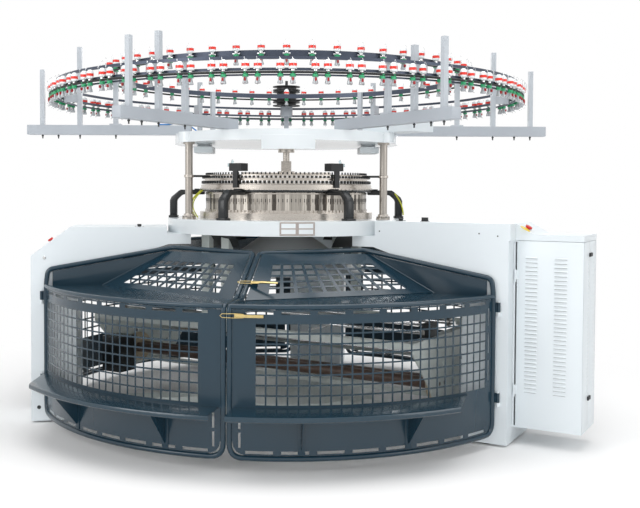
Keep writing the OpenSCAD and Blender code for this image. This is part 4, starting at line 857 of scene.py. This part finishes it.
upper_strips = copied(upper_strip, around(SHOES, UPPER_SHOE_R, UPPER_SHOE_Z))
keep(joined([strips, upper_strips]), "cam_index_strips", "machine", bright_chrome)

# Pillar collars, foot bolts and the black ties that hold the dial ring
COLLAR_BORE = 0.0252


def collars(radius, depth, height):
    """One turned collar on each pillar."""
    collar = ring(radius, COLLAR_BORE, 0.0, depth, 0.002, 40)
    return copied(collar, [placed(az, SHAFT_S, 0, height) for az in PILLAR_AZ])


keep(joined([collars(0.034, 0.022, TABLE_TOP + 0.012), collars(0.032, 0.018, 1.580)]), "pillar_collars",
     "machine", turned_nickel)
foot_bolt = rod((0, 0, 0), (0, 0, 0.009), 0.0055, 6, 0.0008)
bolt_ring = copied(foot_bolt, [placed(i * 60 + 30, 0.0395, 0, TABLE_TOP + 0.0122) for i in range(6)])
keep(copied(bolt_ring, [placed(az, SHAFT_S) for az in PILLAR_AZ]), "pillar_foot_bolts", "machine",
     machined_steel)
tie = box((0.588, -0.010, 1.583), (SHAFT_S - 0.030, 0.010, 1.597), 0.003)
keep(copied(tie, [turned(az) for az in PILLAR_AZ]), "dial_ring_ties", "machine",
     black_enamel)

# Bent cast brackets between the table and the yarn ring, one on each sixth
SIXTHS = [turned(az) for az in range(0, 360, 60)]
BRACKET_W = 0.050
bracket = prism([(0.761, TABLE_TOP + 0.008), (0.811, TABLE_TOP + 0.008), (0.811, 1.426), (0.800, 1.450),
                 (0.750, 1.492), (0.736, 1.500), (0.568, 1.500), (0.568, 1.4665), (0.715, 1.4665),
                 (0.728, 1.460), (0.752, 1.438), (0.761, 1.424)], BRACKET_W, 0.007)
bracket_foot = box((0.754, -0.034, TABLE_TOP), (0.818, 0.034, TABLE_TOP + 0.014), 0.003)
bracket_screws = copied(rod((0, 0, 0), (0, 0, 0.006), 0.006, 8, 0.0008),
                        [Matrix.Translation((0.786, side * 0.027, TABLE_TOP + 0.0142)) for side in SIDES])
bracket_pad = box((0.575, -0.022, 1.4995), (0.640, 0.022, 1.5075), 0.003)
whole_bracket = joined([bracket, bracket_foot, bracket_screws, bracket_pad])
keep(copied(whole_bracket, SIXTHS), "yarn_ring_brackets", "machine", black_enamel,
     ["ring_brackets"])

# A plain data plate with four framed fields on the table, and a bare plate under the top plate
def curved_plate(radius, x_low, x_high, low, high, thickness=0.003):
    """A plate bent round the front of a drum, between two places across and two heights."""
    ends = [math.degrees(math.atan2(-math.sqrt(radius ** 2 - x ** 2), x)) for x in (x_low, x_high)]
    return outwards(grid_sheet(range(13), (low, high),
                               lambda i, z: polar(radius, ends[0] + (ends[1] - ends[0]) * i / 12, z),
                               no_holes, thickness, 1))


plate = rounded(curved_plate(TABLE_R + 0.0006, -0.039, 0.177, TABLE_TOP - 0.088, TABLE_TOP - 0.004),
                0.0008, 1)
fields = [curved_plate(TABLE_R + 0.0038, x, x + 0.088, z, z + 0.028, 0.0004)
          for x in (-0.029, 0.079) for z in (TABLE_TOP - 0.078, TABLE_TOP - 0.042)]
rivets = copied(rod((0, 0, 0), (0.0022, 0, 0), 0.0024, 10, 0.0006),
                [placed(az, TABLE_R + 0.0034, 0, z) for az in (-92.4, -78.0)
                 for z in (TABLE_TOP - 0.082, TABLE_TOP - 0.010)])
wide_plate = rounded(curved_plate(TOP_PLATE_R + 0.0006, -0.154, 0.179, TOP_PLATE_Z - 0.058,
                                  TOP_PLATE_Z + 0.030), 0.001, 1)
painted(plate, plate_aluminium)
painted(wide_plate, white_stove_enamel)
painted(rivets, bright_chrome)
for field in fields:
    painted(field, white_stove_enamel)
keep(joined([plate, wide_plate, rivets] + fields), "bare_plates", "machine",
     stands_for=["nameplates"])

# Yarn feeders, each a clamp on its carrier ring with a capped drum
FEEDER_R = 1.590
UPPER_FEEDER_R = 1.240
FEEDER_WIRE_R = 0.0013
GROUPS = 54
GROUP_TURN = 360 / GROUPS
PAIR_TURN = 1.19


def feeder(cap_top, low, arm_z):
    """One yarn feeder at the origin: a banded cap, chrome neck, clamp arm, green drum, bell and wire hook."""
    cap = lathe([(0.0, cap_top + 0.004), (0.0100, cap_top + 0.004), (0.0125, cap_top),
                 (0.0185, cap_top - 0.004), (0.0208, cap_top - 0.012), (0.0208, cap_top - 0.042),
                 (0.0150, cap_top - 0.047), (0.0, cap_top - 0.047)], 12)
    band = lathe([(0.0200, cap_top - 0.033), (0.0218, cap_top - 0.033), (0.0218, cap_top - 0.018),
                  (0.0200, cap_top - 0.018)], 12)
    neck = rod((0, 0, low + 0.060), (0, 0, cap_top - 0.046), 0.0110, 8, 0.001)
    clamp = box((-0.0217, -0.006, arm_z), (0.004, 0.006, arm_z + 0.014), 0.0015)
    thumb_screw = rod((0, -0.022, arm_z + 0.007), (0, 0.022, arm_z + 0.007), 0.0050, 6, 0.0008)
    drum = lathe([(0.0, low + 0.036), (0.0180, low + 0.036), (0.0150, low + 0.042), (0.0150, low + 0.054),
                  (0.0180, low + 0.060), (0.0, low + 0.060)], 12)
    bell = lathe([(0.0, low + 0.036), (0.0095, low + 0.036), (0.0115, low + 0.022), (0.0160, low + 0.006),
                  (0.0150, low), (0.0, low + 0.003)], 12)
    clip = box((0.010, -0.005, low + 0.014), (0.022, 0.005, low + 0.030), 0.0015)
    hook = tube([(0.0120, 0.0, cap_top - 0.040), (0.0270, 0.004, cap_top - 0.030),
                 (0.0300, 0.0, cap_top + 0.004), (0.0235, -0.004, cap_top + 0.014),
                 (0.0180, -0.002, cap_top + 0.006)], FEEDER_WIRE_R, 4)
    eye = tube([(0.0120, 0.0, low + 0.006), (0.0210, 0.007, low - 0.003), (0.0250, 0.0, low - 0.007),
                (0.0210, -0.007, low - 0.003), (0.0130, -0.001, low + 0.006)], FEEDER_WIRE_R, 4)
    parts = ((cap, feeder_white), (band, feeder_red), (neck, bright_chrome), (clamp, black_enamel),
             (thumb_screw, bright_chrome), (drum, feeder_green), (bell, feeder_smoke), (clip, stop_red),
             (hook, bright_chrome), (eye, bright_chrome))
    return joined([painted(part, material) for part, material in parts])


lower_places = [placed((i + 0.5) * GROUP_TURN + side * PAIR_TURN, FEEDER_R)
                for i in range(GROUPS) for side in SIDES]
upper_places = [placed((i + 0.5) * GROUP_TURN, UPPER_FEEDER_R) for i in range(GROUPS)]
keep(copied(feeder(2.184, 2.060, 2.132), lower_places), "lower_yarn_feeders", "machine",
     stands_for=["yarn_feeders"])
keep(copied(feeder(2.332, 2.205, 2.262), upper_places), "upper_yarn_feeders", "machine")

# Cables with their true round section: blue signal leads and yellow-green earth wires
LEAD_R = 0.005
WIRE_R = 0.004
ROUTE_SHARES = [t / 14 for t in range(15)]


def lead_route(i):
    """A signal lead's way from the top cover to the left beam."""
    start = Vector((-0.600, 0.070 + 0.018 * i, TOP_Z + LEAD_R + SEAT_GAP))
    end = Vector((-0.830, (i - 1.5) * 0.014, BEAM_TOP + LEAD_R + SEAT_GAP))
    hump = [start.lerp(end, t) + Vector((0, 0, 0.045 * math.sin(math.pi * t))) for t in ROUTE_SHARES]
    return [start + Vector((0.04, 0, 0))] + hump + [end - Vector((0.06, 0, 0))]


def wire_route(i):
    """An earth wire's way from the table up to the yarn ring."""
    low, high = TABLE_TOP + WIRE_R + SEAT_GAP, YARN_RING_Z - 0.82 * WIRE_R
    return [polar(0.640 - 0.046 * t + 0.050 * math.sin(math.pi * t), -168 + 5 * i - 5 * t,
                  low * (1 - t) + high * t) for t in ROUTE_SHARES]


bracket_wire = [Vector((0.816 - 0.060 * (t / 12) ** 2, -BRACKET_W / 2 - LEAD_R, 1.328 + 0.150 * t / 12))
                for t in range(13)]
leads = [painted(tube(lead_route(i), LEAD_R, 10), blue_pvc) for i in range(4)]
wires = [painted(tube(wire_route(i), WIRE_R, 10), earth_wire_pvc) for i in range(3)]
wires.append(painted(tube(bracket_wire, LEAD_R, 10), earth_wire_pvc))
keep(joined(leads + wires), "leads_and_earth_wires", "machine", stands_for=["cable_runs"])

# Black deflector plates under the bed, to each side of the fabric cone, that turn with the cylinder
def deflector(start, end):
    """One curved plate between two azimuths."""
    return outwards(grid_sheet(range(13), (0, 0.35, 0.7, 1),
                               lambda i, v: polar(0.645 - 0.085 * v, start + (end - start) * i / 12,
                                                  1.2125 - 0.085 * v ** 1.6), no_holes, SHEET))


deflectors = [deflector(start, start + 30) for start in (-152, -58, 30, 122)]
keep(joined(deflectors), "lint_deflectors", "rotor", black_enamel)


# Cabinet on the right leg: folded covers with pressed louvres, and their locks
CAB_S0, CAB_S1 = 1.700, 2.084
CAB_FRONT, CAB_BACK = 0.225, 0.105
CAB_LOW, CAB_HIGH = 0.104, 1.208
COVER_T = 0.003
SPLIT_Y = -0.060
LOUVRE_ROWS = 33
LOUVRE_LOW, LOUVRE_PITCH = 0.318, 0.0246
LOUVRE_COLUMNS = ((1.750, 1.823), (1.918, 1.993))
COVER_EDGE = 0.0012
PIN_S = 1.692
COVER_KNUCKLE_Z = (0.300, 0.980)
LOCK_Z = (0.280, 1.120)
cabinet_place = turned(RIGHT_AZ)
rows = [LOUVRE_LOW + i * LOUVRE_PITCH for i in range(LOUVRE_ROWS)]


def louvre(length):
    """A pressed hood, open below, with a black strip under its lip as painted shade of the opening, drawn
    along x against the plane y = 0.
    """
    hood = prism([(0.0, 0.0105), (-0.0052, 0.0022), (-0.0052, 0.0008), (0.0, 0.0008)], length, 0.0009)
    hood.data.transform(turned(90))
    # The black strip under the lip is painted shade: the dark of the opening behind the hood
    painted_shade_strip = box((-length / 2 + 0.002, -0.0046, -0.0006), (length / 2 - 0.002, 0.0, 0.0012))
    return [painted(hood, white_powder_coat), painted(painted_shade_strip, black_enamel)]


def vent(radius):
    """A round pressed vent, raised to one side, drawn against the plane x = 0."""
    dome = settle(primitive("uv_sphere", segments=16, ring_count=8, radius=radius, scale=(0.38, 1, 1)))
    modified(dome, "WELD", merge_threshold=1e-6)
    return painted(smooth(dome, 60), white_powder_coat)


def cover_knuckles(face, out):
    """Both hinge knuckles of a cover, with their straps."""
    low, high = SEAT_GAP, 0.0563
    barrel = rod((PIN_S, face, low), (PIN_S, face, high), 0.0055, 16, 0.0008)
    strap = box((PIN_S, face + min(0, -out * 0.004), low), (PIN_S + 0.016, face + max(0, -out * 0.004), high))
    places = [Matrix.Translation((0, 0, z)) for z in COVER_KNUCKLE_Z]
    return painted(copied(joined([barrel, strap]), places), white_powder_coat)


def cover(name, body, face, y_low, y_high, vent_y, lock_y, stands_for, louvres):
    """One folded cover: its wide face at y = face, its end face towards the outside, its vents and locks."""
    out = math.copysign(1, face)
    inside = face - out * COVER_T
    flat = box((CAB_S0, min(face, inside), CAB_LOW), (CAB_S1, max(face, inside), CAB_HIGH), COVER_EDGE)
    end = box((CAB_S1 - COVER_T, y_low, CAB_LOW), (CAB_S1, y_high, CAB_HIGH), COVER_EDGE)
    parts = [painted(flat, white_powder_coat), painted(end, white_powder_coat),
             cover_knuckles(face + out * 0.004, out)]
    parts.append(copied(vent(0.0115), [Matrix.Translation((CAB_S1 - 0.0015, vent_y, z)) for z in rows]))
    lock = box((CAB_S1 - 0.001, lock_y - 0.010, 0.0), (CAB_S1 + 0.010, lock_y + 0.010, 0.022), 0.002)
    parts.append(painted(copied(lock, [Matrix.Translation((0, 0, z)) for z in LOCK_Z]), black_nylon))
    if louvres:
        for low, high in LOUVRE_COLUMNS:
            places = [Matrix.Translation(((low + high) / 2, face, z)) for z in rows]
            parts += [copied(piece, places) for piece in louvre(high - low)]
    whole = joined(parts)
    whole.data.transform(cabinet_place)
    keep(whole, name, body, stands_for=stands_for)


cover("cabinet_front_panel", "cabinet_front", -CAB_FRONT, -CAB_FRONT, SPLIT_Y - 0.001, -0.100,
      SPLIT_Y - 0.022, ["cabinet_front_cover"], True)
cover("cabinet_rear_panel", "cabinet_rear", CAB_BACK, SPLIT_Y + 0.001, CAB_BACK, 0.040, SPLIT_Y + 0.014,
      ["cabinet_rear_cover"], False)

# Small fittings on the legs: the control box's screws, and the left leg's lock, a black disc as painted shade
# in its hole, and button screws
BOX_SCREWS = ((0.863, 1.246), (1.503, 1.248), (1.615, 1.236))
LEG_LOCK = (1.609, 1.062)
LEG_HOLE = (1.646, 0.100)
LEFT_BUTTONS_S, LEFT_BUTTONS_Y = (0.985, 1.035), 0.265
LEFT_BUTTONS_Z = 1.2556
screw = rod((0, 0.0006, 0), (0, -0.0022, 0), 0.0045, 12, 0.0006)
box_screws = copied(screw, [placed(RIGHT_AZ, s, -RIGHT_FRONT, z) for s, z in BOX_SCREWS])
keep(box_screws, "control_box_screws", "machine", black_enamel)


def leg_button(place, sink, stand, radius, sides, edge=0.0):
    """A short round piece on the left leg's face, sunk a little and standing out a little."""
    s, z = place
    return rod((s, LEFT_FRONT - sink, z), (s, LEFT_FRONT + stand, z), radius, sides, edge)


leg_lock = leg_button(LEG_LOCK, 0.001, 0.007, 0.011, 20, 0.002)
# The black disc in the leg's hole is painted shade: the dark inside of the hole
leg_hole_shade_disc = leg_button(LEG_HOLE, 0.002, 0.0006, 0.0125, 24)
button_screws = [rod((s, LEFT_BUTTONS_Y + side * 0.045, LEFT_BUTTONS_Z),
                     (s, LEFT_BUTTONS_Y + side * 0.045, LEFT_BUTTONS_Z + 0.0024), 0.004, 8)
                 for s in LEFT_BUTTONS_S for side in SIDES]
for piece in [leg_lock, leg_hole_shade_disc] + button_screws:
    piece.data.transform(turned(LEFT_AZ))
painted(leg_lock, bright_chrome)
painted(leg_hole_shade_disc, black_enamel)
for piece in button_screws:
    painted(piece, machined_steel)
keep(joined([leg_lock, leg_hole_shade_disc] + button_screws), "left_leg_fittings", "machine")

# Bezels under the buttons: a yellow ring on the slope of the control box, plain black ones on its top
BUTTON_Y = -0.220
BUTTONS_S = (0.960, 1.120)
BOX_TOP, BOX_SLOPE_LOW = 1.309, 1.246
BOX_SLOPE_S0, BOX_SLOPE_S1 = 1.690, 1.800
BEZEL_LOW = 0.0002
slope_turn = math.atan2(BOX_TOP - BOX_SLOPE_LOW, BOX_SLOPE_S1 - BOX_SLOPE_S0)
warning_ring = rod((0, 0, BEZEL_LOW), (0, 0, 0.0032), 0.032, 28, 0.001)
warning_ring.data.transform(placed(RIGHT_AZ, (BOX_SLOPE_S0 + BOX_SLOPE_S1) / 2, BUTTON_Y,
                                   (BOX_TOP + BOX_SLOPE_LOW) / 2) @ Matrix.Rotation(slope_turn, 4, "Y"))
bezels = copied(box((-0.022, -0.030, BEZEL_LOW), (0.022, 0.030, 0.0030), 0.001),
                [placed(RIGHT_AZ, s, BUTTON_Y, BOX_TOP) for s in BUTTONS_S])
keep(joined([painted(warning_ring, signal_yellow), painted(bezels, black_nylon)]), "button_bezels", "machine")


# Take-down frame under the bed: spreader bars with their collars, and the cast gear housings at its ends
TAKEDOWN_AZ = -32.4
FRAME_HALF = 1.250
BAR_PLACES = ((-0.330, 0.640, 0.011), (-0.330, 0.690, 0.009), (0.060, 0.660, 0.014))
COLLAR_PLACES = ((1.180, -0.330, 0.640), (1.180, 0.060, 0.660), (1.190, 0.150, 0.430))
COLLAR_L, COLLAR_R = 0.030, 0.026
HUB_Y, HUB_Z, HUB_R = -0.165, 0.315, 0.105
takedown_place = turned(TAKEDOWN_AZ)


def in_frame(piece, material):
    """Turns a piece to the take-down frame's azimuth and paints it."""
    piece.data.transform(takedown_place)
    return painted(piece, material)


bars = [rod((-FRAME_HALF + 0.012, y, z), (FRAME_HALF - 0.012, y, z), radius, 16)
        for y, z, radius in BAR_PLACES]
bars += [rod((side * 0.42, -0.375, 0.600), (side * 0.42, 0.375, 0.600), 0.009, 12) for side in SIDES]
bar_collars = [rod((side * x, y, z), (side * (x + COLLAR_L), y, z), COLLAR_R, 20, 0.003)
               for side in SIDES for x, y, z in COLLAR_PLACES]
bars = [in_frame(bar, bright_chrome) for bar in bars]
bar_collars = [in_frame(collar, machined_steel) for collar in bar_collars]
keep(joined(bars + bar_collars), "spreader_bars", "rotor")
hub_casts = [rod((side * (FRAME_HALF - 0.070), HUB_Y, HUB_Z), (side * (FRAME_HALF - 0.012), HUB_Y, HUB_Z),
                 HUB_R, 28, 0.006) for side in SIDES]
keep(joined([in_frame(piece, beige_casting) for piece in hub_casts]), "roller_gear_housings", "rotor")

# Beam ends and the bolts that hold the posts
POST_BOLTS_S = (1.190, 1.440, 1.590, 1.700)
cap = box((1.7995, -0.030, TOP_Z + 0.002), (1.8025, 0.030, BEAM_TOP - 0.002), 0.001)
caps = copied(cap, SIXTHS)
bolt = rod((0, 0, 0), (0, 0, -0.026), 0.0045, 8)
nut = rod((0, 0, -0.004), (0, 0, -0.011), 0.0085, 6, 0.0008)
pair = joined([bolt, nut])
bolts = copied(pair, [placed(i * 60, s, 0, TOP_Z) for i in range(6) for s in POST_BOLTS_S])
keep(joined([painted(caps, beam_grey_paint), painted(bolts, black_enamel)]), "beam_ends_and_bolts", "machine")

# Lamp covers under the work lamps
LAMP_X = 0.570
lamp_cover = box((-0.058, -0.108, TOP_PLATE_Z - 0.0585), (0.058, 0.108, TOP_PLATE_Z - 0.0555), 0.001)
keep(copied(lamp_cover, [Matrix.Translation((side * LAMP_X, 0, 0)) for side in SIDES]), "lamp_covers",
     "machine", feeder_white)

# The frame's own solids that stay in view, by finish
finishes = (
    (white_powder_coat, ("left_leg", "right_leg", "rear_leg", "control_box", "work_lamps", "junction_box",
                         "cabinet_frame", "fabric_cone")),
    (white_stove_enamel, ("bed_table", "top_plate", "top_cover")),
    (platform_paint, ("base_frame", "takedown_frame", "end_plates")),
    (beam_grey_paint, ("feeder_beams",)),
    (post_silver_lacquer, ("feeder_posts",)),
    (blued_steel, ("feeder_rings",)),
    (ground_stainless, ("pillars",)),
    (turned_nickel, ("base_ring", "yarn_ring", "dial_cam_ring", "dial_hub", "needle_cylinder", "dial")),
    (cam_plate_nickel, ("cam_sections",)),
    (machined_steel, ("gear_ring", "dial_gear", "drive_shaft", "motor_pulley")),
    (bright_chrome, ("winding_roller",)),
    (motor_blue_grey, ("drive_motor",)),
    (black_enamel, ("takedown_drives",)),
    (black_nylon, ("levelling_feet", "fan_motors", "pulley_stack", "right_jog_button", "left_jog_button",
                   "selector_knob")),
    (belt_rubber, ("belts",)),
    (brown_roller_rubber, ("front_roller", "rear_roller")),
    (button_red, ("emergency_button", "left_stop_button")),
    (clear_acrylic, ("left_fan", "right_fan")),
)
for material, names in finishes:
    for name in names:
        painted(nodes[name], material)

# Edges of folded and cut metal are slightly round, so they catch the light
SOFT_EDGE = 0.0022
for name in ("left_leg", "right_leg", "rear_leg", "control_box", "junction_box", "cabinet_frame",
             "feeder_beams", "feeder_posts", "work_lamps", "takedown_frame", "end_plates", "fan_motors"):
    edge = nodes[name].modifiers.new("soft_edge", "BEVEL")
    edge.width = SOFT_EDGE
    edge.segments = 2
    edge.limit_method = "ANGLE"
    edge.angle_limit = math.radians(50)

# The stage: a pale floor that keeps the soft shadow near the machine and turns white further out
FLOOR_NEAR = 2.2
FLOOR_FAR = 3.5


def backdrop_ray(tree):
    """One for the rays that see the backdrop: from the camera, in a reflection or through clear plastic."""
    path = node(tree, "ShaderNodeLightPath")
    seen = node(tree, "ShaderNodeMath", operation="MAXIMUM",
                links={0: path.outputs["Is Camera Ray"], 1: path.outputs["Is Glossy Ray"]})
    return node(tree, "ShaderNodeMath", operation="MAXIMUM",
                links={0: seen.outputs[0], 1: path.outputs["Is Transmission Ray"]}).outputs[0]


def white_floor():
    """Pale paint near the machine, and plain white for backdrop rays further out."""
    material = bpy.data.materials.new("white_studio_floor")
    material.use_nodes = True
    tree = material.node_tree
    tree.nodes.clear()
    output = node(tree, "ShaderNodeOutputMaterial")
    place = node(tree, "ShaderNodeTexCoord").outputs["Object"]
    away = node(tree, "ShaderNodeVectorMath", links={0: place}, operation="LENGTH")
    fade = node(tree, "ShaderNodeMapRange", {"From Min": FLOOR_NEAR, "From Max": FLOOR_FAR},
                {"Value": away.outputs["Value"]}, interpolation_type="SMOOTHSTEP")
    far = node(tree, "ShaderNodeMath", operation="MULTIPLY",
               links={0: fade.outputs["Result"], 1: backdrop_ray(tree)})
    paint = node(tree, "ShaderNodeBsdfDiffuse", {"Color": linear("#F7F7F7")})
    glow = node(tree, "ShaderNodeEmission", {"Color": (1, 1, 1, 1), "Strength": 1.0})
    mixed = node(tree, "ShaderNodeMixShader", links={0: far.outputs[0], 1: paint.outputs[0],
                                                     2: glow.outputs[0]})
    tree.links.new(mixed.outputs[0], output.inputs["Surface"])
    return material


def white_world(strength):
    """Even light from all round, and plain white for backdrop rays."""
    world = bpy.data.worlds.new("white_studio")
    bpy.context.scene.world = world
    world.use_nodes = True
    tree = world.node_tree
    tree.nodes.clear()
    output = node(tree, "ShaderNodeOutputWorld")
    light = node(tree, "ShaderNodeBackground", {"Color": (1, 1, 1, 1), "Strength": strength})
    white = node(tree, "ShaderNodeBackground", {"Color": (1, 1, 1, 1), "Strength": 1.0})
    mixed = node(tree, "ShaderNodeMixShader", links={0: backdrop_ray(tree), 1: light.outputs[0],
                                                     2: white.outputs[0]})
    tree.links.new(mixed.outputs[0], output.inputs["Surface"])


def soft_box(name, place, aim, size, watts, mirrored=True):
    """A square area light aimed at a point; one that isn't mirrored leaves no highlight on gloss or metal."""
    calm()
    place, aim = Vector(place), Vector(aim)
    turn = (aim - place).to_track_quat("-Z", "Y").to_euler()
    bpy.ops.object.light_add(type="AREA", location=place, rotation=turn)
    lamp = bpy.context.object
    lamp.name = name
    lamp.data.shape = "SQUARE"
    lamp.data.size = size
    lamp.data.energy = watts
    lamp.visible_glossy = mirrored


floor = primitive("circle", vertices=96, radius=14, fill_type="NGON", location=(0, 0, -0.0005))
floor.name = "studio_floor"
painted(settle(floor), white_floor())
white_world(0.54)
soft_box("ceiling_light", (0.4, -0.8, 5.6), (0, 0, 1.2), 6.0, 235)
soft_box("left_light", (-5.2, -4.6, 3.6), (0, 0, 1.1), 3.5, 130)
soft_box("right_light", (5.4, -4.2, 3.2), (0, 0, 1.1), 3.0, 55)
soft_box("front_fill", (0.3, -6.6, 1.0), (0, 0, 0.9), 2.6, 110, False)
soft_box("rear_light", (1.0, 6.0, 4.0), (0, 0, 1.4), 4.0, 95)

# The camera as for the photo: 6.5 m in front of the axis, 1.5 m up, tipped down a little
CAMERA_BACK = 6.475
CAMERA_Z = 1.500
FOCAL_PX = 925
SENSOR_MM = 36
PHOTO_W, PHOTO_H = 640, 508
AXIS_PX, HORIZON_PX = 286, 190
TIP_DOWN = math.radians(2.0)
LEAN = math.radians(0.23)

bpy.ops.object.camera_add(location=(0, -CAMERA_BACK, CAMERA_Z))
camera = bpy.context.object
camera.matrix_world = (Matrix.Translation((0, -CAMERA_BACK, CAMERA_Z))
                       @ Matrix.Rotation(math.pi / 2 - TIP_DOWN, 4, "X") @ Matrix.Rotation(LEAN, 4, "Z"))
camera.data.sensor_width = SENSOR_MM
camera.data.lens = SENSOR_MM * FOCAL_PX / PHOTO_W
camera.data.shift_x = (PHOTO_W / 2 - AXIS_PX) / PHOTO_W
camera.data.shift_y = (HORIZON_PX - PHOTO_H / 2 + FOCAL_PX * math.tan(TIP_DOWN)) / PHOTO_W
bpy.context.scene.camera = camera
bpy.context.scene.view_settings.view_transform = "Standard"
